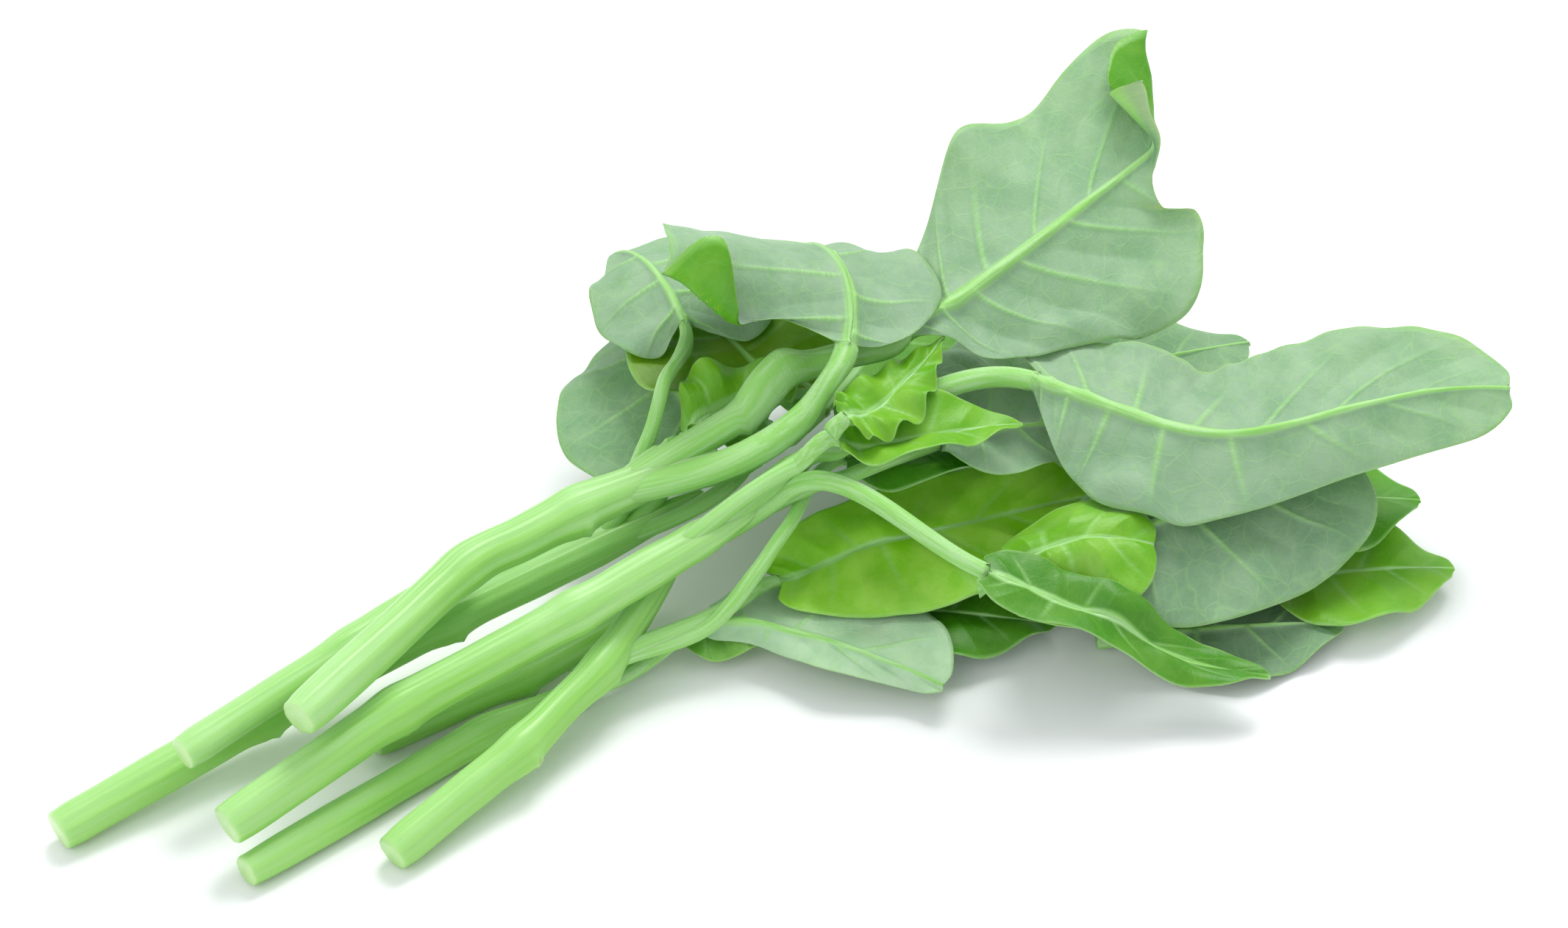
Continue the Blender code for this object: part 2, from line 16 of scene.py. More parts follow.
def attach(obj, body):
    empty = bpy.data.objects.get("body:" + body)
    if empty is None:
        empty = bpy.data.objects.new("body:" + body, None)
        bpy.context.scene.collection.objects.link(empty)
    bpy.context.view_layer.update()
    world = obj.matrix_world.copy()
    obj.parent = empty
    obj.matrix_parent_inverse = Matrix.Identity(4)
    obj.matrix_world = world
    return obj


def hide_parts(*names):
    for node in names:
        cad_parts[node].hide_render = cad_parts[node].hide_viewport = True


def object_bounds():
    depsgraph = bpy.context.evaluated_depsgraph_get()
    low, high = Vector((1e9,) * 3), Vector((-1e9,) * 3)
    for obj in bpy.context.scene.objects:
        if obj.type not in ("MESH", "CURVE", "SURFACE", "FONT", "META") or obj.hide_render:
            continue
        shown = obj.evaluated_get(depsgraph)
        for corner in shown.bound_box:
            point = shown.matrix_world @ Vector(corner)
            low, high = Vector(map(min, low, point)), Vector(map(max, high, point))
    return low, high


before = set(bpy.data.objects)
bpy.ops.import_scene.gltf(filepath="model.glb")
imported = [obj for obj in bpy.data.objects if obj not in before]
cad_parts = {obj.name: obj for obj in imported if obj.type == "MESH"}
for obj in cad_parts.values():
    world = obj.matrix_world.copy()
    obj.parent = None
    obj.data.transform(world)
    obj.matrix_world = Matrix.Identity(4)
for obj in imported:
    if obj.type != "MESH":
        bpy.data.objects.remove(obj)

bl_info = {
    "name": "Spinach Bunch",
    "version": (1, 0, 0),
    "blender": (4, 5, 0),
    "location": "3D View > Sidebar > Spinach",
    "description": "Builds a bunch of spinach lying on its side, leaf by leaf",
    "category": "Object",
}

MM = 0.001
CAD_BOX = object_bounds()
BUNCH_MIDDLE = (-6.84, 2.43)  # middle of the finished bunch, seen from the heart
UNDERSIDE = 0.058  # height of its lowest point in the tables

VIEW_AIM = (3, 8, 30)  # the view looks at this place in the heap
STEM_STEP = 1.5  # between the rings of a stem
STEM_SIDES = 72
STEM_REACH = 1.12  # leaves keep this far from a stem's axis, as a part of its radius
NODE_REACH = 4.0  # how far the swelling of a leaf node reaches along its stem
RIBS_PER_WIDTH = 1.15  # ribs of a stem for each millimetre of its thickness
CUT_DEPTH = 1.7  # the cut face's edge is rounded over this depth
CUT_PROFILE = ((1.0, 0.35), (0.98, 0.7), (0.9, 0.92), (0.6, 0.985))  # parts of it and of the radius
CUT_NARROWING = 0.06  # a stem draws in this much towards its cut
TIP_PROFILE = ((0.8, 0.9), (1.4, 0.6), (1.7, 0.25))  # past the far end, and part of the radius
HEART_TAPER = 24.0  # a stem thins over its last stretch, where the leaf stalks leave it
HEART_SHARE = 0.45  # what is left of its radius there

BLADE_ROWS = 170  # sections from the base of a blade to its tip
BLADE_POINTS = 61  # points across a section, from margin to margin
STALK_ROWS = 40  # rings of a stalk outside its stem
STALK_ROOT_SWELL = 0.25  # a stalk is this much thicker at its root
STALK_FLAT_STEP = 1.5  # a stalk's fibres are painted on a tube with rings this far apart
STALK_FLAT_RADIUS = 1.6
ROOT_ROWS = 16  # and inside it
ROOT_REACH = 22.0  # a stalk that starts further than this from a stem's end stays apart from it
ROOT_DEPTH = 30.0  # how far back inside its stem a leaf stalk starts
CENTRE_CROWDING = 1.5  # above 1, the blade's points crowd towards the midrib
MIDRIB_STEPS = 200  # steps in which a midrib is worked out
SECTION_STEPS = 61  # steps in which a section of half a blade is worked out
SECTION_CROWDING = 1.6  # sections stand closer together towards the base of a blade
SECTION_SWEEP = 1.2  # and bend on their way from the midrib to the margin
TIP_HALF_WIDTH = 0.03  # of the widest place, so that a tip is never a single point
WAVE_SHIFT = 1.7  # radians that the margins' waves shift, the left back and the right forward
CORNER_RADIUS = 1.5  # a turned-over leaf end bends round this
CORNER_FADE = 3.0  # to the left of the midrib, the turning dies away over this

PILE_CELL = 1.5  # side of a cell of the pile's grid
PILE_HALF_SIZE = 220.0
LAYING_PASSES = 3
PILE_GAP = 0.5  # free height between one leaf and what it lies on
PILE_SPREAD = 2  # cells over which a lifted place pulls its surroundings up

# Half outlines along the blade (1 is its length) and across it (1 is its half width).
OUTLINES = {
    "arrow": [(0, 0.06), (-0.10, 0.22), (-0.20, 0.46), (-0.14, 0.76), (0.06, 0.95), (0.30, 1.0),
              (0.56, 0.84), (0.80, 0.50), (0.94, 0.20), (1, 0)],
    "oval": [(0, 0.08), (-0.03, 0.34), (0.03, 0.66), (0.20, 0.94), (0.42, 1.0), (0.66, 0.82),
             (0.87, 0.44), (0.96, 0.20), (1, 0)],
    "blunt": [(0, 0.08), (-0.06, 0.38), (0.02, 0.74), (0.22, 0.97), (0.50, 1.0), (0.76, 0.90),
              (0.93, 0.62), (1, 0.26), (1, 0)],
    "spear": [(0, 0.10), (0.02, 0.36), (0.12, 0.76), (0.28, 1.0), (0.50, 0.90), (0.74, 0.54),
              (0.90, 0.24), (1, 0)],
    "lance": [(0, 0.20), (-0.02, 0.55), (0.05, 0.92), (0.16, 1.0), (0.34, 0.84), (0.60, 0.80),
              (0.82, 0.62), (0.95, 0.30), (1, 0)],
    "wedge": [(0, 0.08), (0.05, 0.34), (0.12, 0.66), (0.20, 0.96), (0.28, 0.94), (0.40, 0.70),
              (0.56, 0.58), (0.74, 0.54), (0.92, 0.44), (1, 0.2), (1, 0)],
    "lobe": [(0, 0.06), (0.04, 0.26), (0.07, 0.50), (-0.02, 0.74), (-0.14, 0.95), (-0.04, 1.07),
             (0.22, 1.02), (0.55, 0.95), (0.80, 0.72), (0.96, 0.38), (1, 0)],
    "crest": [(0, 0.06), (0.03, 0.25), (0.22, 0.57), (0.46, 1.0), (0.63, 0.83), (0.79, 0.90),
              (0.92, 0.90), (1.02, 0.72), (1.07, 0.42), (1.04, 0.12), (1, 0)],
    "notched": [(0, 0.06), (0.05, 0.24), (0.25, 0.70), (0.58, 1.0), (0.76, 0.72), (0.80, 0.50),
                (0.73, 0.34), (0.76, 0.12), (0.88, 0.04), (1, 0.03), (1, 0)],
}

# Colours of the upper and the under face, as they look in daylight; some also carry painted light or
# shade, as noted above them.
TINTS = {
    "fresh": ((0.30, 0.60, 0.04), (0.53, 0.66, 0.53)),
    "lime": ((0.40, 0.68, 0.10), (0.48, 0.71, 0.34)),
    # Painted light: a brighter green for a leaf that lies in the shade of the leaves above it.
    "light": ((0.52, 0.80, 0.22), (0.52, 0.72, 0.40)),
    # A dark yellow-green that paints shade with light coming through the leaf from behind.
    "yellow_backlit_shade": ((0.38, 0.56, 0.03), (0.48, 0.66, 0.16)),
    # A deep green that also paints shade, for leaves lying in shadow.
    "deep_and_shade": ((0.24, 0.52, 0.03), (0.44, 0.59, 0.46)),
    "cool": ((0.24, 0.50, 0.08), (0.47, 0.61, 0.47)),
    # A pale grey-green under face, lightened as painted light for a leaf that lies in shade.
    "pale": ((0.44, 0.70, 0.30), (0.66, 0.80, 0.65)),
}


@dataclass
class Stem:
    """A cut stem: straight between its leaf nodes, with a small turn at each."""

    name: str
    cut_end: tuple  # x, y of the near end
    heights: tuple  # height of the axis at the near and far ends
    thickness: tuple  # diameter at the near and far ends
    internodes: tuple  # length and heading of each straight stretch


@dataclass
class Leaf:
    """A leaf stalk and its blade. Headings, pitches and rolls run evenly from the base to the tip."""

    name: str
    root: tuple  # start of the stalk
    root_direction: tuple  # heading and pitch of the stalk as it starts
    base: tuple  # start of the blade
    length: float
    half_widths: tuple  # left and right of the midrib
    heading: tuple
    pitch: tuple
    roll: tuple  # 0 shows the upper face to the sky, 180 the under face
    fold: tuple  # how far the left and right halves rise from the midrib
    curl: tuple  # how much more they rise by the margin
    outline: object = "oval"  # a name, or one for the left half and one for the right
    ruffle: float = 1.5
    waves: float = 3.0
    stalk: float = 2.8  # diameter of the stalk
    through: tuple = ()  # places that the stalk passes on its way to the blade
    corner: tuple = (2, 0, 0)  # a turned-over end: where on the midrib, its slant, how far it turns
    tint: str = "fresh"


STEMS = [
    Stem("stem_long", (-155, 4), (4.4, 18), (8.4, 8.0), ((45, 9), (42, 6), (58, 4))),
    Stem("stem_low_front", (-127, -22), (3.6, 3.8), (6.8, 6.4), ((54, 13), (28, 5))),
    Stem("stem_shaded", (-92, -1), (3.8, 7), (7.0, 7.4), ((32, 3), (30, 9))),
    Stem("stem_curved", (-101, -31), (4.2, 17), (7.8, 7.4), ((32, 17), (24, 24), (28, 34))),
    Stem("stem_upper_back", (-130, 0), (17, 24), (7.0, 7.2), ((38, 13), (32, 14))),
    Stem("stem_middle", (-128, -17), (12, 29), (8.8, 8.0), ((38, 12), (40, 5), (30, 7), (12, 8))),
    Stem("stem_upper", (-110, -11), (27, 35), (8.2, 9.0),
         ((47, 25), (26, 7), (24, 1), (6, -4))),
]

LOW_LEAVES = [
    Leaf("leaf_right_dark", (48, -43, 3), (-20, 0), (58, -48, 4), 40, (14, 16),
         (-20, -22, -26), (2, 0, -3), (180, 180, 178), (4, 4), (8, 8), tint="cool"),
    Leaf("leaf_right_lowest", (62, -36, 4), (-20, 0), (88, -46, 5), 39, (16, 17),
         (-20, -22, -24), (4, 0, -6), (0, 0, 0), (6, 6), (-6, -10), tint="lime"),
    Leaf("leaf_right_bright", (34, -16, 5), (-15, 10), (82, -28, 13), 47, (20, 20),
         (-18, -22, -26), (4, -2, -8), (0, 0, 0), (6, 6), (-6, -6)),
    Leaf("leaf_shaded_right", (10, -6, 8), (-12, 10), (54, -16, 9), 58, (22, 24),
         (-14, -16, -18), (2, -2, -6), (0, 0, 0), (4, 4), (0, 0), tint="deep_and_shade"),
    Leaf("leaf_shaded_front", (-8, -4, 4), (-30, 0), (8, -12, 4), 42, (16, 16),
         (-32, -35, -38), (3, 0, -3), (0, 0, 0), (4, 4), (4, 4), tint="deep_and_shade"),
    Leaf("leaf_front_small", (-36, -2, 3), (-10, 10), (-27, -3, 5), 24, (8, 8),
         (-20, -30, -40), (16, 0, -8), (180, 180, 180), (14, 14), (14, 14), "spear", 0.8, 2,
         tint="lime"),
    Leaf("leaf_front", (-43, -8, 3.9), (5, 0), (-21, -9, 9), 48, (5, 20),
         (-34, -50, -54), (8, -2, -8), (182, 186, 182), (20, 6), (30, 10), "blunt", 1.2, 3,
         tint="pale"),
    Leaf("leaf_middle", (-16, -8, 8), (10, 10), (-5, -5, 11), 86, (14, 19),
         (-5, -10, -14), (6, 3, -4), (6, 10, 4), (6, 4), (6, -8), "oval", 1.8, 3,
         tint="light"),
]

UPPER_LEAVES = [
    Leaf("leaf_right_lower", (32, -28, 16), (-20, 20), (50, -38, 24), 62, (24, 16),
         (0, -4, -8), (4, 0, -6), (186, 190, 190), (14, 6), (16, 10), "blunt", 1.6, 3,
         tint="cool"),
    Leaf("leaf_cupped", (27, -30, 13), (-20, 10), (34, -33, 15), 28, (13, 14),
         (-18, -22, -26), (8, -4, -14), (8, 8, 4), (10, 10), (12, 6), "blunt", 1.0, 2,
         tint="lime"),
    Leaf("leaf_left", (-12, 27, 24), (60, 15), (-5, 29, 27), 42, (17, 27),
         (94, 93, 90), (20, -4, -36), (182, 178, 172), (6, 8), (8, 12), "arrow", 1.4, 3,
         tint="cool"),
    Leaf("leaf_shaded_middle", (-22, -11, 12), (0, 35), (18, 9, 25), 46, (16, 16),
         (-10, -16, -20), (4, 0, -4), (0, 0, 0), (6, 6), (5, 5), "oval", 1.5, 3, 2.6,
         ((-4, -6, 26),), tint="deep_and_shade"),
    Leaf("leaf_back", (2, 20, 16), (40, 20), (24, 30, 20), 62, (26, 26),
         (32, 30, 28), (6, -2, -12), (0, 0, 0), (6, 6), (5, 5), "arrow", 1.6, 3),
    Leaf("leaf_back_right", (8, 11, 20), (5, 15), (46, 8, 24), 70, (24, 24),
         (2, -2, -6), (4, -2, -8), (180, 180, 180), (5, 5), (5, 8), "oval", 1.6, 3, tint="cool"),
    Leaf("leaf_pale_inner", (5, 0, 27), (0, 10), (34, -2, 30), 34, (12, 13),
         (-10, -14, -18), (4, 0, -4), (180, 180, 180), (6, 6), (6, 6)),
    Leaf("leaf_under_top_left", (4, 20, 26), (90, 20), (11, 25, 33), 42, (25, 27),
         (95, 98, 102), (14, 0, -16), (0, 0, 0), (6, 6), (5, 5), "oval", 1.4, 3, tint="yellow_backlit_shade"),
    Leaf("leaf_narrow_left", (-18, 20, 21), (0, 15), (-13, 21, 23), 32, (9, 8),
         (4, 2, 0), (24, 18, 10), (-20, -10, 0), (20, 20), (20, 20), "spear", 1.6, 4,
         tint="lime"),
    Leaf("leaf_upper_left", (-25, 22, 25), (40, 50), (-1, 45, 42), 36, (26, 17),
         (86, 90, 94), (30, -6, -44), (180, 178, 175), (8, 12), (10, 15), "arrow", 1.4, 3, 2.8,
         ((-14, 29, 37),)),
    Leaf("leaf_drooping", (-2, -1, 31), (-10, 38), (24, -38, 28), 61, (8, 8),
         (-40, -40, -30), (-18, -24, -4), (0, 0, 0), (12, 12), (-10, -10), "lance", 0.8, 3, 3.4,
         tint="deep_and_shade"),
    Leaf("leaf_right", (4, 1, 33), (-2, 25), (54, -6, 42), 101, (24, 22),
         (-54, -46, -16, -12, -24), (-2, -8, 6, 2, -8), (184, 190, 192), (20, 2), (30, 8),
         ("wedge", "blunt"), 1.6, 3, 4.2),
    Leaf("leaf_spear", (0, -3, 32), (-10, 20), (9, -4, 38), 39, (12, 9),
         (-12, -12, -14), (8, 0, -6), (0, 0, 0), (25, 25), (-15, -15), "spear", 1.2, 3,
         tint="lime"),
    Leaf("leaf_crinkled", (6, -6, 33), (20, 20), (10, -5, 35), 36, (8, 8),
         (20, 24, 28), (24, 24, 18), (14, 8, 4), (10, 10), (8, 8), "spear", 1.6, 6,
         tint="lime"),
    Leaf("leaf_top", (-3, 15, 36), (4, 10), (34, 13, 48), 86, (31, 29),
         (8, 11, 12), (15, 14, 15), (204, 208, 208), (6, 2), (10, 6), ("notched", "crest"), 1.6,
         3, 5.2, ((15, 18, 44),), (0.79, 40, 165)),
    Leaf("leaf_top_left", (-4, 6, 38), (0, 14), (19, 11, 53), 46, (21, 40),
         (50, 88, 100), (42, -8, -76), (204, 205, 204), (-8, -2), (0, 3), ("spear", "lobe"), 1.2,
         3, 5.0, (), (-0.11, 197, 150)),
]


# ---------------------------------------------------------------- curves and frames


def smooth_path(points, step):
    """A Catmull-Rom curve through the points, read about every step."""
    points = np.array(points, float)
    ends = np.vstack([2 * points[0] - points[1], points, 2 * points[-1] - points[-2]])
    path = []
    for i in range(1, len(points)):
        a, b, c, d = ends[i - 1], ends[i], ends[i + 1], ends[i + 2]
        count = max(1, round(np.linalg.norm(c - b) / step))
        for t in np.arange(count) / count:
            path.append(0.5 * (2 * b + (c - a) * t + (2 * a - 5 * b + 4 * c - d) * t**2
                               + (3 * b - a - 3 * c + d) * t**3))
    path.append(points[-1])
    return np.array(path)


def run_along(path):
    """How far along the path each of its points is."""
    return np.concatenate([[0], np.cumsum(np.linalg.norm(np.diff(path, axis=0), axis=1))])


def direction(heading, pitch):
    """Unit vectors, for arrays of angles in degrees."""
    heading, pitch = np.radians(heading), np.radians(pitch)
    return np.stack([np.cos(pitch) * np.cos(heading), np.cos(pitch) * np.sin(heading),
                     np.sin(pitch)], axis=-1)


def stem_route(stem):
    """The stem's axis through its nodes and the middles of its internodes, and the nodes' places."""
    total = sum(length for length, heading in stem.internodes)
    x, y = stem.cut_end
    done = 0.0
    route = [(x, y, stem.heights[0])]
    nodes = []
    for length, heading in stem.internodes:
        for part in (0.5, 0.5):
            x += part * length * math.cos(math.radians(heading))
            y += part * length * math.sin(math.radians(heading))
            done += part * length
            rise = (stem.heights[1] - stem.heights[0]) * done / total
            route.append((x, y, stem.heights[0] + rise))
        nodes.append((x, y, stem.heights[0] + rise))
    return route, np.array(nodes[:-1])


def blend(start, end, leave, arrive, t):
    """A cubic course from start to end that leaves and arrives with the given slopes."""
    return ((2 * t**3 - 3 * t**2 + 1) * start + (t**3 - 2 * t**2 + t) * leave
            + (3 * t**2 - 2 * t**3) * end + (t**3 - t**2) * arrive)


def interpolate_keys(values, places):
    """A smooth course through equally spaced values, read at places from 0 to 1."""
    keys = np.array(values, float)
    slopes = np.gradient(keys)
    spot = places * (len(keys) - 1)
    low = np.minimum(spot.astype(int), len(keys) - 2)
    return blend(keys[low], keys[low + 1], slopes[low], slopes[low + 1], spot - low)


def midrib_frames(leaf, places):
    """Points, and unit vectors along, to the left and up out of the upper face, at places 0 to 1."""
    fine = np.linspace(0, 1, MIDRIB_STEPS + 1)
    along = direction(interpolate_keys(leaf.heading, fine), interpolate_keys(leaf.pitch, fine))
    steps = 0.5 * (along[1:] + along[:-1]) * leaf.length / MIDRIB_STEPS
    points = np.array(leaf.base, float) + np.vstack([np.zeros(3), np.cumsum(steps, axis=0)])
    heading = np.radians(interpolate_keys(leaf.heading, fine))
    level = np.stack([-np.sin(heading), np.cos(heading), 0 * heading], axis=-1)
    above = np.cross(along, level)
    roll = np.radians(interpolate_keys(leaf.roll, fine))[:, None]
    left = level * np.cos(roll) + above * np.sin(roll)
    up = above * np.cos(roll) - level * np.sin(roll)
    inside = np.clip(places, 0, 1)
    read = [np.stack([np.interp(inside, fine, v[:, k]) for k in range(3)], axis=-1)
            for v in (points, along, left, up)]
    end = np.where((places > 1)[..., None], along[-1], along[0])
    read[0] = read[0] + (places - inside)[..., None] * leaf.length * end
    return read


def outline_points(name, places):
    """The half outline read at the places, 0 at the base and 1 at the tip."""
    path = smooth_path([(x, y, 0) for x, y in OUTLINES[name]], 0.02)
    run = run_along(path)
    return np.interp(places * run[-1], run, path[:, 0]), np.interp(places * run[-1], run, path[:, 1])


# ---------------------------------------------------------------- the heap


class Pile:
    """The height of what already lies at each place of a square grid."""

    def __init__(self):
        count = round(2 * PILE_HALF_SIZE / PILE_CELL)
        self.top = np.full((count, count), -PILE_GAP)

    def cells(self, points):
        place = (points[:, :2] + PILE_HALF_SIZE) / PILE_CELL
        return tuple(place.astype(int).T)

    def add(self, samples):
        np.maximum.at(self.top, self.cells(samples), samples[:, 2])

    def lift(self, samples):
        """How far each place must rise so that the samples clear what lies there."""
        low = np.full(self.top.shape, np.inf)
        np.minimum.at(low, self.cells(samples), samples[:, 2])
        need = np.where(np.isfinite(low), self.top + PILE_GAP - low, 0).clip(0)
        for axis in (0, 1):
            need = np.max([np.roll(need, k, axis) for k in range(-PILE_SPREAD, PILE_SPREAD + 1)], 0)
        for axis in (0, 1):
            for width in (PILE_SPREAD // 2,) * 2:
                need = np.mean([np.roll(need, k, axis) for k in range(-width, width + 1)], 0)
        return need

    def lay(self, points):
        """Raise the points, in a few passes, until they clear the pile, and add them to it."""
        points = points.copy()
        for _ in range(LAYING_PASSES):
            need = self.lift(points)
            points[:, 2] += self.read(need, points)
        self.add(points)
        return points

    def read(self, field, points):
        """The field between its cells' middles, at the points' places."""
        place = (points[:, :2] + PILE_HALF_SIZE) / PILE_CELL - 0.5
        low = np.floor(place).astype(int)
        i, j = low.T
        s, t = (place - low).T
        return ((field[i, j] * (1 - s) + field[i + 1, j] * s) * (1 - t)
                + (field[i, j + 1] * (1 - s) + field[i + 1, j + 1] * s) * t)


PILE = Pile()


def heart():
    """The heart of the bunch in metres, from the model's box."""
    low, high = CAD_BOX
    middle = [(low[k] + high[k]) / 2 for k in range(2)]
    return Vector((middle[0] - BUNCH_MIDDLE[0] * MM, middle[1] - BUNCH_MIDDLE[1] * MM,
                   low[2] - UNDERSIDE * MM))


def to_world(points):
    return np.asarray(points) * MM + np.array(heart())


# ---------------------------------------------------------------- materials


def linear(colour):
    """A colour as it looks, as the shader's linear numbers."""
    return tuple(c / 12.92 if c <= 0.04045 else ((c + 0.055) / 1.055) ** 2.4 for c in colour) + (1.0,)


class Shader:
    """Short calls that build a material's nodes."""

    def __init__(self, name):
        self.made = bpy.data.materials.new(name)
        self.made.use_nodes = True
        self.tree = self.made.node_tree
        self.surface = self.tree.nodes["Principled BSDF"]

    def node(self, kind, **inputs):
        node = self.tree.nodes.new(kind)
        for name, value in inputs.items():
            self.put(node.inputs[name.replace("_", " ")], value)
        return node

    def put(self, socket, value):
        if isinstance(value, bpy.types.NodeSocket):
            self.tree.links.new(value, socket)
        else:
            socket.default_value = value

    def attribute(self, name):
        node = self.tree.nodes.new("ShaderNodeAttribute")
        node.attribute_name = name
        return node

    def math(self, operation, a, b=0.5, c=0.0):
        node = self.tree.nodes.new("ShaderNodeMath")
        node.operation = operation
        for socket, value in zip(node.inputs, (a, b, c)):
            self.put(socket, value)
        return node.outputs[0]

    def times(self, a, b):
        return self.math("MULTIPLY", a, b)

    def most(self, a, b):
        return self.math("MAXIMUM", a, b)

    def vectors(self, operation, *values):
        node = self.tree.nodes.new("ShaderNodeVectorMath")
        node.operation = operation
        for socket, value in zip(node.inputs, values):
            self.put(socket, value)
        return node.outputs[0]

    def value(self, name):
        """A number that the mesh stores for each point."""
        return self.attribute(name).outputs["Fac"]

    def finish(self, **inputs):
        """Puts the values on the surface and gives the material."""
        for name, value in inputs.items():
            self.put(self.surface.inputs[name.replace("_", " ")], value)
        return self.made

    def ramp(self, value, low, high, start=0.0, end=1.0):
        node = self.tree.nodes.new("ShaderNodeMapRange")
        node.interpolation_type = "SMOOTHSTEP"
        for name, number in (("From Min", low), ("From Max", high), ("To Min", start), ("To Max", end)):
            self.put(node.inputs[name], number)
        self.put(node.inputs["Value"], value)
        return node.outputs["Result"]

    def mix(self, factor, a, b):
        node = self.tree.nodes.new("ShaderNodeMix")
        node.data_type = "RGBA"
        self.put(node.inputs["Factor"], factor)
        self.put(node.inputs["A"], a)
        self.put(node.inputs["B"], b)
        return node.outputs["Result"]

    def noise(self, vector, scale, detail, roughness):
        node = self.node("ShaderNodeTexNoise", Vector=vector, Scale=scale, Detail=detail,
                         Roughness=roughness)
        return node.outputs["Fac"]

    def cells(self, vector, scale):
        """Distance from the nearest edge between random cells."""
        node = self.node("ShaderNodeTexVoronoi", Vector=vector, Scale=scale)
        node.feature = "DISTANCE_TO_EDGE"
        return node.outputs["Distance"]

    def bump(self, height, distance, strength, below=None):
        node = self.node("ShaderNodeBump", Height=height, Distance=distance, Strength=strength)
        if below is not None:
            self.put(node.inputs["Normal"], below)
        return node.outputs["Normal"]


def leaf_material(name, tint, colours):
    """A leaf: grey-green below, glossy green above, with pale ribs and a net of fine veins."""
    shader = Shader(name)
    upper, under = (linear(c) for c in TINTS[tint])
    flat = shader.attribute("flat").outputs["Vector"]
    side, midrib, lateral, margin = (
        shader.value(name) for name in ("side", "midrib", "lateral", "margin"))
    wander = shader.node("ShaderNodeTexNoise", Scale=0.18, Detail=2.0, Vector=flat)
    bent = shader.vectors("MULTIPLY_ADD", wander.outputs["Color"], (3.0, 3.0, 3.0), flat)
    coarse = shader.ramp(shader.cells(bent, 0.14), 0.0, 0.045, 1.0, 0.0)
    fine = shader.ramp(shader.cells(bent, 0.42), 0.0, 0.10, 1.0, 0.0)
    net = shader.most(shader.times(coarse, 0.22), shader.times(fine, 0.12))
    patches = shader.noise(flat, 0.09, 4.0, 0.6)
    grain = shader.noise(flat, 1.6, 3.0, 0.6)
    body = shader.mix(side, under, upper)
    darker = shader.node("ShaderNodeHueSaturation", Hue=0.5, Saturation=1.10, Value=0.88, Color=body)
    lighter = shader.node("ShaderNodeHueSaturation", Hue=0.485, Saturation=0.97, Value=1.07, Color=body)
    mottled = shader.mix(shader.ramp(patches, 0.32, 0.68), darker.outputs[0], lighter.outputs[0])
    mottled = shader.mix(shader.times(shader.ramp(grain, 0.4, 0.75), 0.16), mottled,
                         lighter.outputs[0])
    fibres = shader.vectors("MULTIPLY", flat, (0.05, 1.4, 1.4))
    streaks = shader.ramp(shader.noise(fibres, 1.0, 3.0, 0.6), 0.38, 0.64)
    vein = shader.mix(streaks, linear(colours.stem), linear(colours.vein))
    net = shader.times(net, shader.ramp(side, 0.0, 1.0, 1.0, 0.5))
    ribs = shader.most(midrib, shader.times(lateral, 0.75))
    strength = shader.most(ribs, net)
    strength = shader.times(strength, shader.ramp(side, 0.0, 1.0, 0.85, 0.55))
    strength = shader.most(strength, midrib)
    colour = shader.mix(strength, mottled, vein)
    colour = shader.mix(shader.times(margin, 0.5), colour, vein)
    rough = shader.ramp(side, 0.0, 1.0, 0.56, 0.40)
    rough = shader.math("ADD", rough, shader.times(patches, 0.10))
    relief = shader.bump(grain, 0.00012, 0.6, shader.bump(net, 0.00022, 0.8))
    return shader.finish(Base_Color=colour, Roughness=rough, Normal=relief, Subsurface_Weight=0.22,
                         Subsurface_Radius=(0.9, 1.6, 0.25), Subsurface_Scale=0.0016,
                         Specular_IOR_Level=0.42)


def stem_material(name, colours):
    """A fresh stem: pale, ribbed lengthwise, greener between its ribs, with scars at its nodes, and
    painted shade, a deeper yellow-green, low down and underneath.
    """
    shader = Shader(name)
    ring = shader.attribute("ring").outputs["Vector"]
    along, node, cut, depth = (shader.value(name) for name in ("along", "node", "cut", "depth"))
    lines = shader.node("ShaderNodeCombineXYZ", Z=shader.times(along, 6.0))
    place = shader.vectors("ADD", ring, lines.outputs[0])
    streaks = shader.noise(place, 7.0, 4.0, 0.62)
    broad = shader.noise(place, 1.7, 3.0, 0.55)
    patches = shader.node("ShaderNodeTexCoord")
    mottle = shader.noise(patches.outputs["Object"], 60.0, 4.0, 0.6)
    green, pale, deep_and_shade = (linear(c) for c in (colours.stem, colours.stem_pale, colours.stem_deep_and_shade))
    colour = shader.mix(shader.ramp(streaks, 0.33, 0.72, 0.15, 0.80), green, pale)
    colour = shader.mix(shader.times(shader.ramp(broad, 0.50, 0.72), 0.55), colour, deep_and_shade)
    colour = shader.mix(shader.times(shader.ramp(mottle, 0.45, 0.75), 0.30), colour, pale)
    colour = shader.mix(shader.ramp(along, 0.0, 0.05, 0.45, 0.0), colour, pale)
    # Painted shade: deeper yellow-green where the stem lies low or faces down.
    colour = shader.mix(shader.times(depth, 0.85), colour, deep_and_shade)
    colour = shader.mix(shader.times(node, 0.45), colour, pale)
    scar = shader.times(shader.ramp(node, 0.55, 1.0), shader.ramp(mottle, 0.40, 0.62))
    colour = shader.mix(shader.times(scar, 0.75), colour, linear(colours.scar))
    face = shader.mix(shader.ramp(mottle, 0.3, 0.7), linear(colours.pith), linear(colours.pith_pale))
    colour = shader.mix(shader.times(cut, 0.6), colour, face)
    return shader.finish(Base_Color=colour, Roughness=shader.ramp(streaks, 0.3, 0.7, 0.28, 0.42),
                         Normal=shader.bump(streaks, 0.00009, 0.6), Subsurface_Weight=0.30,
                         Subsurface_Radius=(0.8, 1.5, 0.3), Subsurface_Scale=0.003)


# ---------------------------------------------------------------- stems


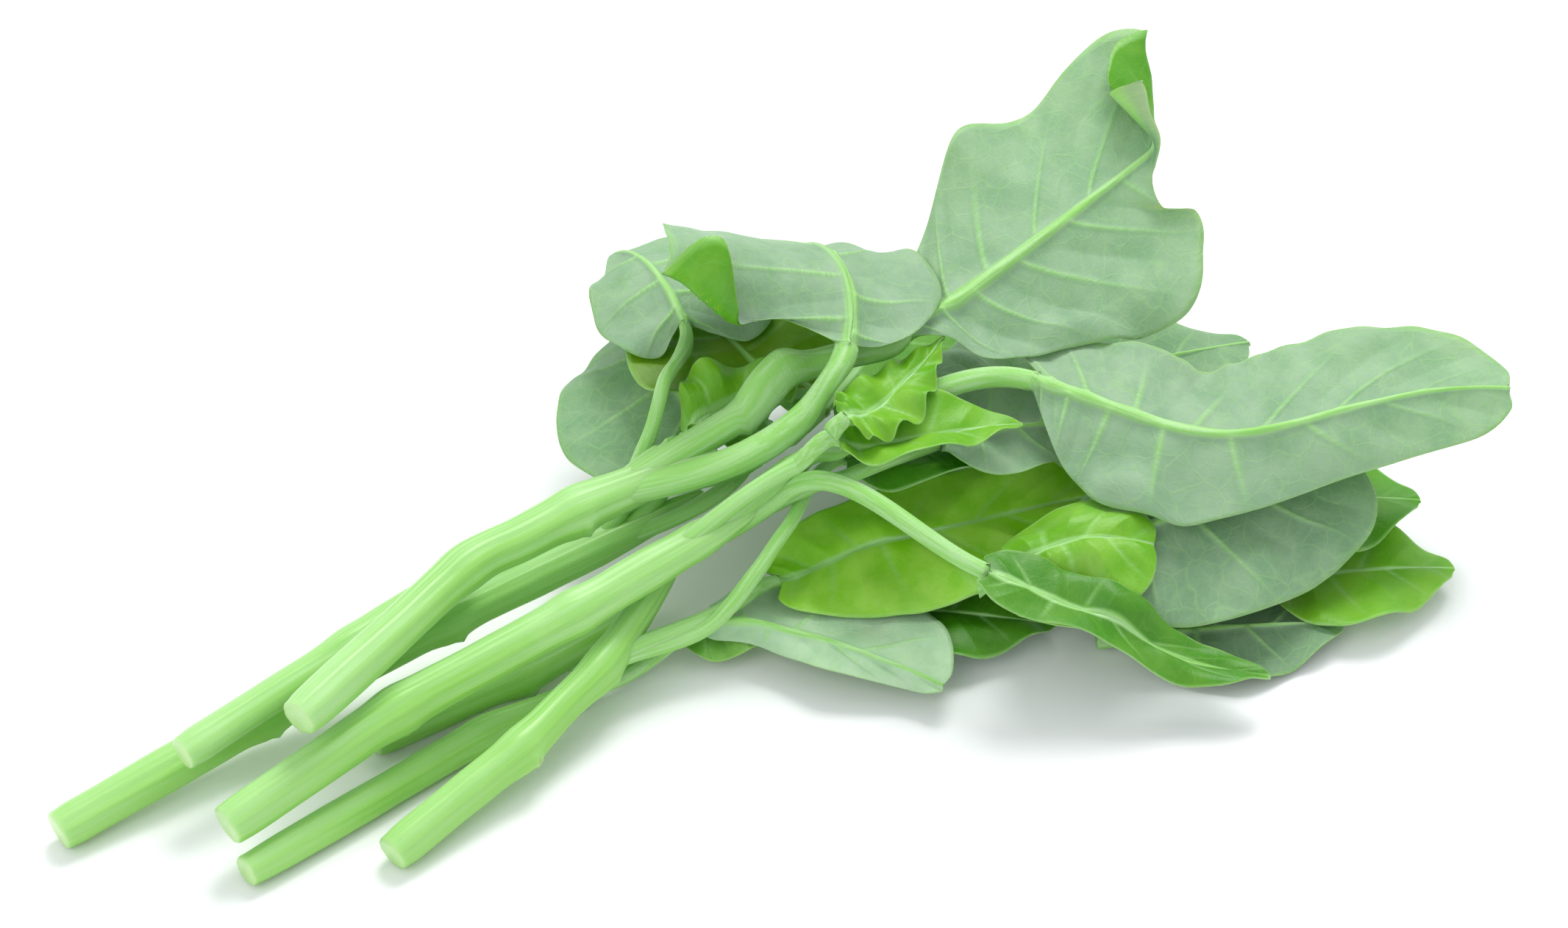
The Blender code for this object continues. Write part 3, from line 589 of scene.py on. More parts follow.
def sweep_tree():
    """Sweeps a ribbed ring along a line of points whose attribute gives the ring's radius."""
    tree = bpy.data.node_groups.new("ribbed_sweep", "GeometryNodeTree")
    for name, way, kind in (("Geometry", "INPUT", "Geometry"), ("Sides", "INPUT", "Int"),
                            ("Ribs", "INPUT", "Float"), ("Rib Depth", "INPUT", "Float"),
                            ("Material", "INPUT", "Material"), ("Geometry", "OUTPUT", "Geometry")):
        tree.interface.new_socket(name, in_out=way, socket_type="NodeSocket" + kind)

    def node(kind, values, **settings):
        made = tree.nodes.new(kind)
        for name, value in settings.items():
            setattr(made, name, value)
        for name, value in values.items():
            if isinstance(value, bpy.types.NodeSocket):
                tree.links.new(value, made.inputs[name])
            else:
                made.inputs[name].default_value = value
        return made

    def calculate(operation, a, b):
        return node("ShaderNodeMath", {0: a, 1: b}, operation=operation).outputs[0]

    given = node("NodeGroupInput", {}).outputs
    line = node("GeometryNodeMeshToCurve", {0: given["Geometry"]})
    radius = node("GeometryNodeInputNamedAttribute", {"Name": "radius"}, data_type="FLOAT")

    ring = node("GeometryNodeCurvePrimitiveCircle", {"Resolution": given["Sides"], "Radius": 1.0},
                mode="RADIUS")
    index = node("GeometryNodeInputIndex", {})
    turn = calculate("MULTIPLY", index.outputs[0], 2 * math.pi)
    turn = calculate("DIVIDE", turn, given["Sides"])
    wave = calculate("COSINE", calculate("MULTIPLY", turn, given["Ribs"]), 0.0)
    scale = calculate("ADD", calculate("MULTIPLY", wave, given["Rib Depth"]), 1.0)
    place = node("GeometryNodeInputPosition", {}).outputs[0]
    kept = node("GeometryNodeStoreNamedAttribute",
                {"Name": "ring", "Geometry": ring.outputs["Curve"], "Value": place},
                data_type="FLOAT_VECTOR", domain="POINT")
    grown = node("ShaderNodeVectorMath", {0: place, "Scale": scale}, operation="SCALE")
    ribbed = node("GeometryNodeSetPosition",
                  {"Geometry": kept.outputs["Geometry"], "Position": grown.outputs[0]})

    swept = node("GeometryNodeCurveToMesh",
                 {"Curve": line.outputs[0], "Scale": radius.outputs["Attribute"],
                  "Profile Curve": ribbed.outputs["Geometry"], "Fill Caps": True})
    smooth = node("GeometryNodeSetShadeSmooth", {"Geometry": swept.outputs[0]})
    real = node("GeometryNodeRealizeInstances", {0: smooth.outputs[0]})
    painted = node("GeometryNodeSetMaterial",
                   {"Geometry": real.outputs[0], "Material": given["Material"]})
    node("NodeGroupOutput", {0: painted.outputs[0]})
    return tree


def set_input(modifier, name, value):
    """Sets a node modifier's input by the socket's identifier."""
    for item in modifier.node_group.interface.items_tree:
        if item.item_type == "SOCKET" and item.in_out == "INPUT" and item.name == name:
            modifier[item.identifier] = value


def swept_mesh(name, path, radii, tree, ribs, rib_depth, material):
    """The line of points as a ribbed sweep, as a plain mesh in metres."""
    line = bpy.data.meshes.new(name + "_line")
    line.from_pydata(to_world(path).tolist(), [(i, i + 1) for i in range(len(path) - 1)], [])
    radius = line.attributes.new("radius", "FLOAT", "POINT")
    radius.data.foreach_set("value", np.asarray(radii) * MM)
    depth = line.attributes.new("along", "FLOAT", "POINT")
    run = run_along(path)
    depth.data.foreach_set("value", run * MM)
    obj = bpy.data.objects.new(name + "_line", line)
    bpy.context.scene.collection.objects.link(obj)
    modifier = obj.modifiers.new("sweep", "NODES")
    modifier.node_group = tree
    for key, value in (("Sides", STEM_SIDES), ("Ribs", ribs), ("Rib Depth", rib_depth),
                       ("Material", material)):
        set_input(modifier, key, value)
    seen = bpy.context.evaluated_depsgraph_get()
    mesh = bpy.data.meshes.new_from_object(obj.evaluated_get(seen), depsgraph=seen)
    bpy.data.objects.remove(obj)
    bpy.data.meshes.remove(line)
    return mesh


def put_attribute(mesh, name, values):
    """Stores one number or one vector for each point of the mesh."""
    values = np.asarray(values, np.float32)
    kind, field = ("FLOAT", "value") if values.ndim == 1 else ("FLOAT_VECTOR", "vector")
    layer = mesh.attributes.get(name) or mesh.attributes.new(name, kind, "POINT")
    layer.data.foreach_set(field, values.ravel())


def read_vectors(items, field):
    """A vector field of a mesh as rows of three numbers."""
    values = np.empty(len(items) * 3, np.float32)
    items.foreach_get(field, values)
    return values.reshape(-1, 3)


def stem_line(stem):
    """The stem's axis in short steps, how far along each place is, and the radius there."""
    path = smooth_path(stem_route(stem)[0], STEM_STEP)
    run = run_along(path)
    radii = (stem.thickness[0] + (stem.thickness[1] - stem.thickness[0]) * run / run[-1]) / 2
    thinning = np.clip((run[-1] - run) / HEART_TAPER, 0, 1) ** 0.6
    return path, run, radii * (HEART_SHARE + (1 - HEART_SHARE) * thinning)


def add_ends(path, radii):
    """The stem's line and radii with a rounded cut face before them and a rounded tip after them."""
    out = (path[0] - path[1]) / np.linalg.norm(path[0] - path[1])
    far = (path[-1] - path[-2]) / np.linalg.norm(path[-1] - path[-2])
    cut = [path[0] + out * CUT_DEPTH * depth for depth, share in CUT_PROFILE]
    tip = [path[-1] + far * reach for reach, share in TIP_PROFILE]
    cut_radii = [radii[0] * share for depth, share in CUT_PROFILE]
    tip_radii = [radii[-1] * share for reach, share in TIP_PROFILE]
    return np.vstack([cut, path, tip]), np.concatenate([cut_radii, radii, tip_radii])


def unevenness(along, angle, chance):
    """Slow waves along and around a stem, about -1 to 1."""
    total = np.zeros(len(along))
    for k in (2, 3, 5, 8, 13):
        phase = chance.uniform(0, 2 * np.pi, 2)
        total += np.cos(k * angle + phase[0] + along * chance.uniform(-0.02, 0.02)) / k
        total += 0.6 * np.sin(along / (22.0 / k) + phase[1]) / k
    return total


def leaf_scars(along, angle, places, radius, chance):
    """How far a stem rises at its leaf nodes, in millimetres, and how strong the scars are there."""
    rise = np.zeros(len(along))
    scar = np.zeros(len(along))
    for place in places:
        facing = chance.uniform(0.3, 2.6)
        across = np.abs((angle - facing + np.pi) % (2 * np.pi) - np.pi) * radius
        bow = along - place - 0.10 * across**2
        ridge = np.exp(-((bow / 0.9) ** 2)) * np.exp(-((across / 3.0) ** 2))
        pad = np.exp(-(((along - place + 2.5) / 3.0) ** 2 + (across / 2.6) ** 2))
        rise += 0.75 * ridge + 0.5 * pad
        scar = np.maximum(scar, ridge)
    return rise, scar


def stem_piece(stem, tree, sizes, colours, seed):
    """A ribbed stem with swollen nodes, leaf scars and a cut end, standing for its CAD node."""
    route, nodes = stem_route(stem)
    path, run, radii = stem_line(stem)
    from_nodes = np.linalg.norm(path[:, None] - nodes[None], axis=2)
    radii = radii * (1 + (sizes.node_swell - 1) * np.exp(-((from_nodes.min(1) / NODE_REACH) ** 2)))
    radii = radii * (1 - CUT_NARROWING * np.exp(-run / STEM_STEP))
    path, radii = add_ends(path, radii)
    full = run_along(path)
    node_places = full[len(CUT_PROFILE) + from_nodes.argmin(0)]

    ribs = round(stem.thickness[0] * RIBS_PER_WIDTH)
    mesh = swept_mesh(stem.name, path, radii, tree, ribs, sizes.rib_depth,
                      stem_material(stem.name, colours))
    points = read_vectors(mesh.vertices, "co").astype(float)
    ring = read_vectors(mesh.attributes["ring"].data, "vector")
    along = np.empty(len(points), np.float32)
    mesh.attributes["along"].data.foreach_get("value", along)
    along = along / MM
    centres = np.stack([np.interp(along, full, path[:, k]) for k in range(3)], axis=-1)
    outward = points - to_world(centres)
    outward = outward / np.maximum(np.linalg.norm(outward, axis=1), 1e-9)[:, None]

    chance = np.random.default_rng(seed)
    angle = np.arctan2(ring[:, 1], ring[:, 0])
    body = np.clip(along / 3, 0, 1) * np.clip((full[-1] - along) / 3, 0, 1)
    shift = sizes.wobble / MM * unevenness(along, angle, chance) * body
    rise, scar = leaf_scars(along, angle, node_places, stem.thickness[0] / 2, chance)
    shift += rise
    shift += sizes.rib_depth * 0.5 * np.cos(2 * ribs * angle + along * 0.05) * body
    points += outward * (shift * MM)[:, None]
    mesh.vertices.foreach_set("co", points.astype(np.float32).ravel())

    # Painted shade: the depth attribute turns a stem a deeper yellow-green near the floor and on its
    # underside, where shade falls.
    low = np.clip(1 - points[:, 2] / MM / 30.0, 0, 1)
    shaded_underside = np.clip(0.1 - outward[:, 2], 0, 1)
    put_attribute(mesh, "cut", np.clip(1 - along / 0.7, 0, 1) ** 0.5)
    put_attribute(mesh, "node", np.clip(scar, 0, 1))
    put_attribute(mesh, "depth", np.clip(0.4 * low + 0.8 * shaded_underside, 0, 1))
    piece = finished(stem.name, mesh)
    lay_stem(route, stem.thickness[1] / 2 * STEM_REACH)
    return piece


def lay_stem(route, radius):
    """Tell the pile about a stem: its top line and a little to each side."""
    fine = smooth_path(route, 1.0)
    for offset in np.linspace(-1, 1, 9):
        height = radius * math.sqrt(max(1 - offset**2, 0))
        PILE.add(fine + np.array([0, offset * radius, height]))


def finished(name, mesh):
    """The mesh as a piece that stands for the CAD node of its name."""
    mesh.name = name + "_surface"
    mesh.update()
    piece = bpy.data.objects.new(name + "_piece", mesh)
    bpy.context.scene.collection.objects.link(piece)
    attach(piece, "root")
    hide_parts(name)
    return piece


# ---------------------------------------------------------------- leaves


def blade_grid(leaf):
    """Row and column places of the blade's points: 0 to 1 from base to tip, -1 to 1 across."""
    u = np.linspace(0, 1, BLADE_ROWS)
    even = np.linspace(-1, 1, BLADE_POINTS)
    return u, np.sign(even) * np.abs(even) ** CENTRE_CROWDING


def half_section(leaf, half, edge_y, u, amounts):
    """How far each point of one half lies sideways from the midrib, how far it rises, and its slope."""
    steps = np.linspace(0, 1, SECTION_STEPS)
    width = leaf.half_widths[half]
    slope = np.radians(leaf.fold[half] + leaf.curl[half] * edge_y[:, None] * steps[None, :])
    run = edge_y[:, None] * width / (SECTION_STEPS - 1)
    between = (slope[:, 1:] + slope[:, :-1]) / 2
    start = np.zeros((len(u), 1))
    sideways = np.hstack([start, np.cumsum(np.cos(between) * run, axis=1)])
    rise = np.hstack([start, np.cumsum(np.sin(between) * run, axis=1)])
    place = np.clip(amounts * (SECTION_STEPS - 1), 0, SECTION_STEPS - 1.001)
    low = place.astype(int)
    share = place - low
    return [v[:, low] * (1 - share) + v[:, low + 1] * share for v in (sideways, rise, slope)]


def turn_corner(leaf, points, normals):
    """Roll the end of the flat blade past its corner line over towards the under face."""
    where, slant, most = leaf.corner
    across = np.radians(slant)
    ahead = np.array([np.cos(across), np.sin(across), 0])
    past = (points[..., 0] - where * leaf.length) * ahead[0] + points[..., 1] * ahead[1]
    past = past.clip(0)
    fading = np.clip(1 - points[..., 1] / CORNER_FADE, 0, 1)
    turn = np.minimum(past / CORNER_RADIUS, np.radians(most) * fading)
    rest = past - turn * CORNER_RADIUS
    forward = CORNER_RADIUS * np.sin(turn) + rest * np.cos(turn) - past
    down = CORNER_RADIUS * (1 - np.cos(turn)) + rest * np.sin(turn)
    moved = points + forward[..., None] * ahead - down[..., None] * np.array([0, 0, 1.0])
    level = normals @ ahead
    bent = level * np.cos(turn) + normals[..., 2] * np.sin(turn)
    tilted = normals + (bent - level)[..., None] * ahead
    tilted[..., 2] = normals[..., 2] * np.cos(turn) - level * np.sin(turn)
    return moved, tilted


def blade_surface(leaf, u, v):
    """Middle surface of the blade, its normals, and each point's place on the flat blade."""
    names = leaf.outline if isinstance(leaf.outline, tuple) else (leaf.outline,) * 2
    rib_x = u**SECTION_CROWDING
    surfaces, normals, flats = [], [], []
    for half, sign, columns in ((1, -1.0, v < 0), (0, 1.0, v >= 0)):
        amount = np.abs(v[columns])
        edge_x, edge_y = outline_points(names[half], u)
        edge_y = np.maximum(edge_y, TIP_HALF_WIDTH)
        place = rib_x[:, None] + (edge_x - rib_x)[:, None] * amount[None, :] ** SECTION_SWEEP
        sideways, rise, slope = half_section(leaf, half, edge_y, u, amount)
        local = np.stack([place * leaf.length, sign * sideways, rise], axis=-1)
        facing = np.stack([0 * slope, -sign * np.sin(slope), np.cos(slope)], axis=-1)
        wave = np.sin(2 * np.pi * leaf.waves * u + WAVE_SHIFT * sign)
        ends = np.sin(np.pi * np.clip(u, 0.02, 1)) ** 0.5
        ruffle = leaf.ruffle * (wave * ends)[:, None] * amount[None, :] ** 2
        local, facing = turn_corner(leaf, local + facing * ruffle[..., None], facing)
        points, along, left, up = midrib_frames(leaf, local[..., 0] / leaf.length)
        surfaces.append(points + left * local[..., 1:2] + up * local[..., 2:])
        normals.append(along * facing[..., :1] + left * facing[..., 1:2] + up * facing[..., 2:])
        reach = edge_y[:, None] * amount[None, :] * leaf.half_widths[half]
        flats.append(np.stack([place * leaf.length, sign * reach, 0 * place], axis=-1))
    return [np.concatenate(parts, axis=1) for parts in (surfaces, normals, flats)]


def vein_fields(leaf, u, v, flat, sizes):
    """Strength of the lateral veins, and how far from the nearest one, each 0 to 1."""
    count = max(4, round(leaf.length / sizes.vein_spacing * MM))
    offset = np.where(v < 0, 0.0, 0.45)
    phase = u[:, None] * count + offset[None, :]
    away = np.abs(phase - np.round(phase))
    spread = np.linalg.norm(np.gradient(flat, u, axis=0), axis=-1) / count
    amount = np.abs(v)[None, :]
    width = 0.75 * (1 - 0.55 * amount)
    lateral = np.exp(-((away * spread / width) ** 2)) * np.clip(1.05 - amount**2, 0, 1)
    lateral = lateral * np.clip((amount - 0.02) / 0.04, 0, 1) * np.clip(4 * (1 - u[:, None]), 0, 1)
    return lateral, 2 * away


def crumple(flat, seed):
    """Gentle random waves over the flat blade, about -1 to 1."""
    chance = np.random.default_rng(seed)
    total = np.zeros(flat.shape[:2])
    for wavelength, size in ((38.0, 1.0), (23.0, 0.6), (14.0, 0.35), (8.0, 0.16)):
        for _ in range(3):
            turn = chance.uniform(0, 2 * np.pi)
            phase = chance.uniform(0, 2 * np.pi)
            run = flat[..., 0] * np.cos(turn) + flat[..., 1] * np.sin(turn)
            total += size / 3 * np.sin(2 * np.pi * run / wavelength + phase)
    return total


def blade_faces(leaf, sizes, seed):
    """Upper and under points of the blade, and the fields that colour them."""
    u, v = blade_grid(leaf)
    surface, normal, flat = blade_surface(leaf, u, v)
    lateral, away = vein_fields(leaf, u, v, flat, sizes)
    amount = np.abs(v)[None, :]
    ends = np.sin(np.pi * np.clip(u, 0, 1))[:, None] ** 0.5
    pucker = sizes.pucker / MM * away**1.5 * np.sin(np.pi * amount) ** 0.8 * ends
    waves = sizes.crumple / MM * crumple(flat, seed) * amount**0.7 * ends
    surface = surface + normal * (pucker + waves)[..., None]
    rib_radius = leaf.stalk / 2 * (1 - 0.8 * u[:, None])
    from_rib = np.abs(flat[..., 1])
    midrib = np.exp(-((from_rib / rib_radius) ** 2))
    half = sizes.blade / MM / 2 + (sizes.margin - sizes.blade) / MM / 2 * amount
    above = half + leaf.stalk / 2 * np.exp(-u[:, None] / 0.035) * midrib
    above = above - 0.30 * sizes.vein / MM * lateral
    below = half + 0.95 * rib_radius * midrib + sizes.vein / MM * lateral
    upper = surface + normal * above[..., None]
    under = surface - normal * below[..., None]
    mask = np.exp(-((from_rib / (0.85 * rib_radius)) ** 4))
    edge = np.clip((amount - 0.975) / 0.02, 0, 1) + 0 * mask
    return upper, under, {"midrib": mask, "lateral": lateral, "margin": edge, "flat": flat}


def stalk_path(leaf, count):
    """Centres and directions of the stalk at count places, from its root to just before the blade."""
    stops = np.array([leaf.root, *leaf.through, leaf.base], float)
    gaps = np.linalg.norm(np.diff(stops, axis=0), axis=1)
    pulls = np.zeros_like(stops)
    pulls[0] = direction(*leaf.root_direction) * gaps[0]
    pulls[-1] = direction(leaf.heading[0], leaf.pitch[0]) * gaps[-1]
    pulls[1:-1] = (stops[2:] - stops[:-2]) / 2
    place = np.arange(count) / count * len(gaps)
    piece = place.astype(int)
    t = (place - piece)[:, None]
    return hermite(stops[piece], stops[piece + 1], pulls[piece], pulls[piece + 1], t)


def hermite(start, end, leave, arrive, t):
    """Places and directions on a curve between two points with given pulls."""
    centres = blend(start, end, leave, arrive, t)
    tangents = ((6 * t**2 - 6 * t) * start + (3 * t**2 - 4 * t + 1) * leave
                + (6 * t - 6 * t**2) * end + (3 * t**2 - 2 * t) * arrive)
    return centres, tangents / np.linalg.norm(tangents, axis=1)[:, None]


def round_rings(centres, tangents, radii, side):
    """Rings of points about the centres, in the order of the blade's rows."""
    even = np.linspace(-1, 1, BLADE_POINTS)
    angle = np.pi * (1 - (even + 1) / 2 * (1 - 1 / BLADE_POINTS) - 0.5 / BLADE_POINTS)[:, None]
    rings = []
    for centre, tangent, radius in zip(centres, tangents, radii):
        left = side - tangent * (side @ tangent)
        left = left / np.linalg.norm(left)
        up = np.cross(tangent, left)
        upper = centre + radius * (np.cos(angle) * left + np.sin(angle) * up)
        lower = centre + radius * (np.cos(angle) * left - np.sin(angle) * up)
        rings.append(np.vstack([upper, lower[::-1]]))
    return rings


def nearest_stem(point):
    """The line and the radii of the stem whose far end is nearest."""
    lines = [stem_line(stem) for stem in STEMS]
    path, run, radii = min(lines, key=lambda line: np.linalg.norm(line[0][-1] - point))
    return path, radii


def loft_faces(ring_count, ring_size):
    """Faces of the closed loft through the rings, wound to face out."""
    faces = []
    for row in range(ring_count - 1):
        for k in range(ring_size):
            a, b = row * ring_size + k, row * ring_size + (k + 1) % ring_size
            faces.append((a, a + ring_size, b + ring_size, b))
    last = (ring_count - 1) * ring_size
    for k in range(ring_size // 2 - 1):
        a, b, c, d = k, k + 1, ring_size - 2 - k, ring_size - 1 - k
        faces.append((a, b, c, d))
        faces.append((last + a, last + d, last + c, last + b))
    return faces


def root_rings(root, way, radius, side):
    """Rings that carry a stalk back into the nearest stem, or none where no stem is near."""
    line, widths = nearest_stem(root)
    if np.linalg.norm(line[-1] - root) >= ROOT_REACH:
        return []
    back = min(len(line) - 2, round(ROOT_DEPTH / STEM_STEP))
    start = line[-1 - back]
    leave = line[-back] - start
    leave = leave / np.linalg.norm(leave)
    gap = np.linalg.norm(root - start)
    t = (np.arange(ROOT_ROWS) / ROOT_ROWS)[:, None]
    middles, ways = hermite(start, root, leave * gap, way * gap, t)
    flare = min(widths[-1 - back] * 0.62, radius * 1.15)
    growing = flare + (radius - flare) * t[:, 0] ** 0.5
    return round_rings(middles, ways, growing, side)


def paint_leaf(mesh, fields, stalk_rings):
    """Stores on the leaf where its faces, ribs, veins and margin are, and each point's flat place."""
    size = 2 * BLADE_POINTS
    stalk_count = stalk_rings * size
    across = np.concatenate([np.ones(BLADE_POINTS), np.zeros(BLADE_POINTS)])
    put_attribute(mesh, "side", np.concatenate([np.zeros(stalk_count), np.tile(across, BLADE_ROWS)]))
    for name in ("midrib", "lateral", "margin"):
        rows = np.hstack([fields[name], fields[name][:, ::-1]])
        start = np.full(stalk_count, 1.0 if name == "midrib" else 0.0)
        put_attribute(mesh, name, np.concatenate([start, rows.ravel()]))
    flat = np.hstack([fields["flat"], fields["flat"][:, ::-1]]).reshape(-1, 3)
    run = np.repeat(np.arange(-stalk_rings, 0), size) * STALK_FLAT_STEP
    spin = np.tile(2 * np.pi * np.arange(size) / size, stalk_rings)
    stalk_flat = np.stack([run, STALK_FLAT_RADIUS * np.cos(spin), STALK_FLAT_RADIUS * np.sin(spin)],
                          axis=-1)
    put_attribute(mesh, "flat", np.vstack([stalk_flat, flat]))


def leaf_piece(leaf, sizes, colours, seed):
    """A leaf with its stalk as one closed surface, laid on the heap, standing for its CAD node."""
    upper, under, fields = blade_faces(leaf, sizes, seed)
    side = midrib_frames(leaf, np.array([0.0]))[2][0]
    centres, tangents = stalk_path(leaf, STALK_ROWS)
    radii = leaf.stalk / 2 * (1 + STALK_ROOT_SWELL * (1 - np.arange(STALK_ROWS) / STALK_ROWS))
    stalk = round_rings(centres, tangents, radii, side)
    blade = [np.vstack([upper[row], under[row][::-1]]) for row in range(BLADE_ROWS)]
    points = PILE.lay(np.vstack(stalk + blade))
    size = 2 * BLADE_POINTS
    extra = root_rings(points[:size].mean(0), tangents[0], radii[0], side)
    points = np.vstack([*extra, points])
    stalk_rings = len(extra) + STALK_ROWS
    mesh = bpy.data.meshes.new(leaf.name)
    faces = loft_faces(stalk_rings + BLADE_ROWS, size)
    mesh.from_pydata(to_world(points).tolist(), [], faces)
    mesh.shade_smooth()
    paint_leaf(mesh, fields, stalk_rings)
    mesh.materials.append(leaf_material(leaf.name, leaf.tint, colours))
    return finished(leaf.name, mesh)


def lay_leaves(scene, leaves, first_seed):
    """Lays the leaves in their order, each with a seed of its own."""
    for seed, leaf in enumerate(leaves, first_seed):
        leaf_piece(leaf, scene.spinach_blade, scene.spinach_colours, seed)


# ---------------------------------------------------------------- stage


def area_light(name, place, size, power):
    """A soft square light that faces the middle of the bunch."""
    data = bpy.data.lights.new(name, "AREA")
    data.shape = "SQUARE"
    data.size = size
    data.energy = power
    light = bpy.data.objects.new(name, data)
    light.location = place
    light.rotation_euler = (Vector(place)).to_track_quat("Z", "Y").to_euler()
    bpy.context.scene.collection.objects.link(light)


def number_setting(name, about, value, **more):
    return bpy.props.FloatProperty(name=name, description=about, default=value, **more)


def length_setting(name, about, metres):
    return number_setting(name, about, metres, unit="LENGTH")


def angle_setting(name, about, degrees):
    return number_setting(name, about, math.radians(degrees), subtype="ANGLE")


def colour_setting(name, about, value):
    return bpy.props.FloatVectorProperty(name=name, description=about, default=value, subtype="COLOR")


class SpinachBladeSizes(bpy.types.PropertyGroup):
    """Sizes of the blades and of their relief."""

    blade: length_setting("Blade", "Thickness beside the midrib", 0.00045)
    margin: length_setting("Margin", "Thickness at the margin", 0.00028)
    vein: length_setting("Vein", "Height of the lateral veins", 0.00042)
    vein_spacing: length_setting("Vein Spacing", "Blade length for each pair of veins", 0.012)
    pucker: length_setting("Pucker", "Rise of the blade between veins", 0.0011)
    crumple: length_setting("Crumple", "Height of the blade's gentle waves", 0.0016)


class SpinachStemSizes(bpy.types.PropertyGroup):
    """Relief of the stems."""

    rib_depth: number_setting("Rib Depth", "Depth of the ribs, as a part of the radius", 0.019)
    node_swell: number_setting("Node Swell", "Thickness at a leaf node over that beside it", 1.12)
    wobble: length_setting("Wobble", "Unevenness of the stem", 0.00028)


class SpinachColours(bpy.types.PropertyGroup):
    """Colours that all the pieces share."""

    stem: colour_setting("Stem", "Green of the stems", (0.56, 0.79, 0.40))
    stem_pale: colour_setting("Stem Pale", "Ribs of the stems", (0.70, 0.87, 0.60))
    # Stem Deep also paints shade: the stems turn this deeper yellow-green low down and underneath.
    stem_deep_and_shade: colour_setting("Stem Deep", "Furrows of the stems", (0.50, 0.76, 0.14))
    pith: colour_setting("Pith", "Darker parts of the cut faces", (0.72, 0.86, 0.60))
    pith_pale: colour_setting("Pith Pale", "Paler parts of the cut faces", (0.85, 0.93, 0.74))
    scar: colour_setting("Scar", "Dry scars at the leaf nodes", (0.52, 0.50, 0.24))
    vein: colour_setting("Vein", "Stalks, midribs and veins", (0.66, 0.83, 0.57))


class SpinachStage(bpy.types.PropertyGroup):
    """Sizes of the floor, the lights and the view."""

    floor: length_setting("Floor", "Side of the floor", 6.0)
    daylight: number_setting("Daylight", "Strength of the even light", 0.76)
    key_power: number_setting("Key Power", "Light behind the bunch, in watts", 20.0)
    fill_power: number_setting("Fill Power", "Light at the front, in watts", 7.0)
    lens: number_setting("Lens", "Focal length in millimetres", 80.0)
    distance: length_setting("Distance", "From the view to the bunch", 0.710)
    azimuth: angle_setting("Azimuth", "Turn of the view about the bunch", -28)
    elevation: angle_setting("Elevation", "Height of the view", 40)


class OBJECT_OT_spinach_stage(bpy.types.Operator):
    """Lay the floor and set the view and the lights"""

    bl_idname = "object.spinach_stage"
    bl_label = "Stage"

    def execute(self, context):
        stage = context.scene.spinach_stage
        scene = context.scene
        aim = Vector(to_world(VIEW_AIM))
        turn, rise = stage.azimuth, stage.elevation
        back = Vector((math.sin(turn) * math.cos(rise), -math.cos(turn) * math.cos(rise),
                       math.sin(rise)))
        data = bpy.data.cameras.new("camera")
        data.lens = stage.lens
        data.sensor_width = 36
        data.clip_start = 0.01
        camera = bpy.data.objects.new("camera", data)
        right = Vector((math.cos(turn), math.sin(turn), 0))
        turned = Matrix((right, back.cross(right), back)).transposed().to_4x4()
        camera.matrix_world = Matrix.Translation(aim + back * stage.distance) @ turned
        scene.collection.objects.link(camera)
        scene.camera = camera

        mesh = bpy.data.meshes.new("floor")
        reach = stage.floor / 2
        height = CAD_BOX[0][2] - 0.0002
        mesh.from_pydata([(-reach, -reach, height), (reach, -reach, height), (reach, reach, height),
                          (-reach, reach, height)], [], [(0, 1, 2, 3)])
        floor = bpy.data.objects.new("floor", mesh)
        paper = Shader("floor")
        mesh.materials.append(paper.finish(Base_Color=(0.93, 0.935, 0.94, 1.0), Roughness=0.9,
                                           Specular_IOR_Level=0.1))
        scene.collection.objects.link(floor)

        world = bpy.data.worlds.new("daylight")
        world.use_nodes = True
        sky = world.node_tree.nodes["Background"]
        sky.inputs["Color"].default_value = (0.95, 0.98, 1.0, 1.0)
        sky.inputs["Strength"].default_value = stage.daylight
        scene.world = world
        area_light("key", (0.6, 0.6, 1.5), 0.8, stage.key_power)
        area_light("fill", (-1.2, -0.6, 1.2), 1.0, stage.fill_power)
        scene.view_settings.view_transform = "Standard"
        scene.view_settings.look = "None"
        return {"FINISHED"}


class OBJECT_OT_spinach_low_leaves(bpy.types.Operator):
    """Lay the leaves that lie on the floor"""

    bl_idname = "object.spinach_low_leaves"
    bl_label = "Low Leaves"

    def execute(self, context):
        lay_leaves(context.scene, LOW_LEAVES, 100)
        return {"FINISHED"}


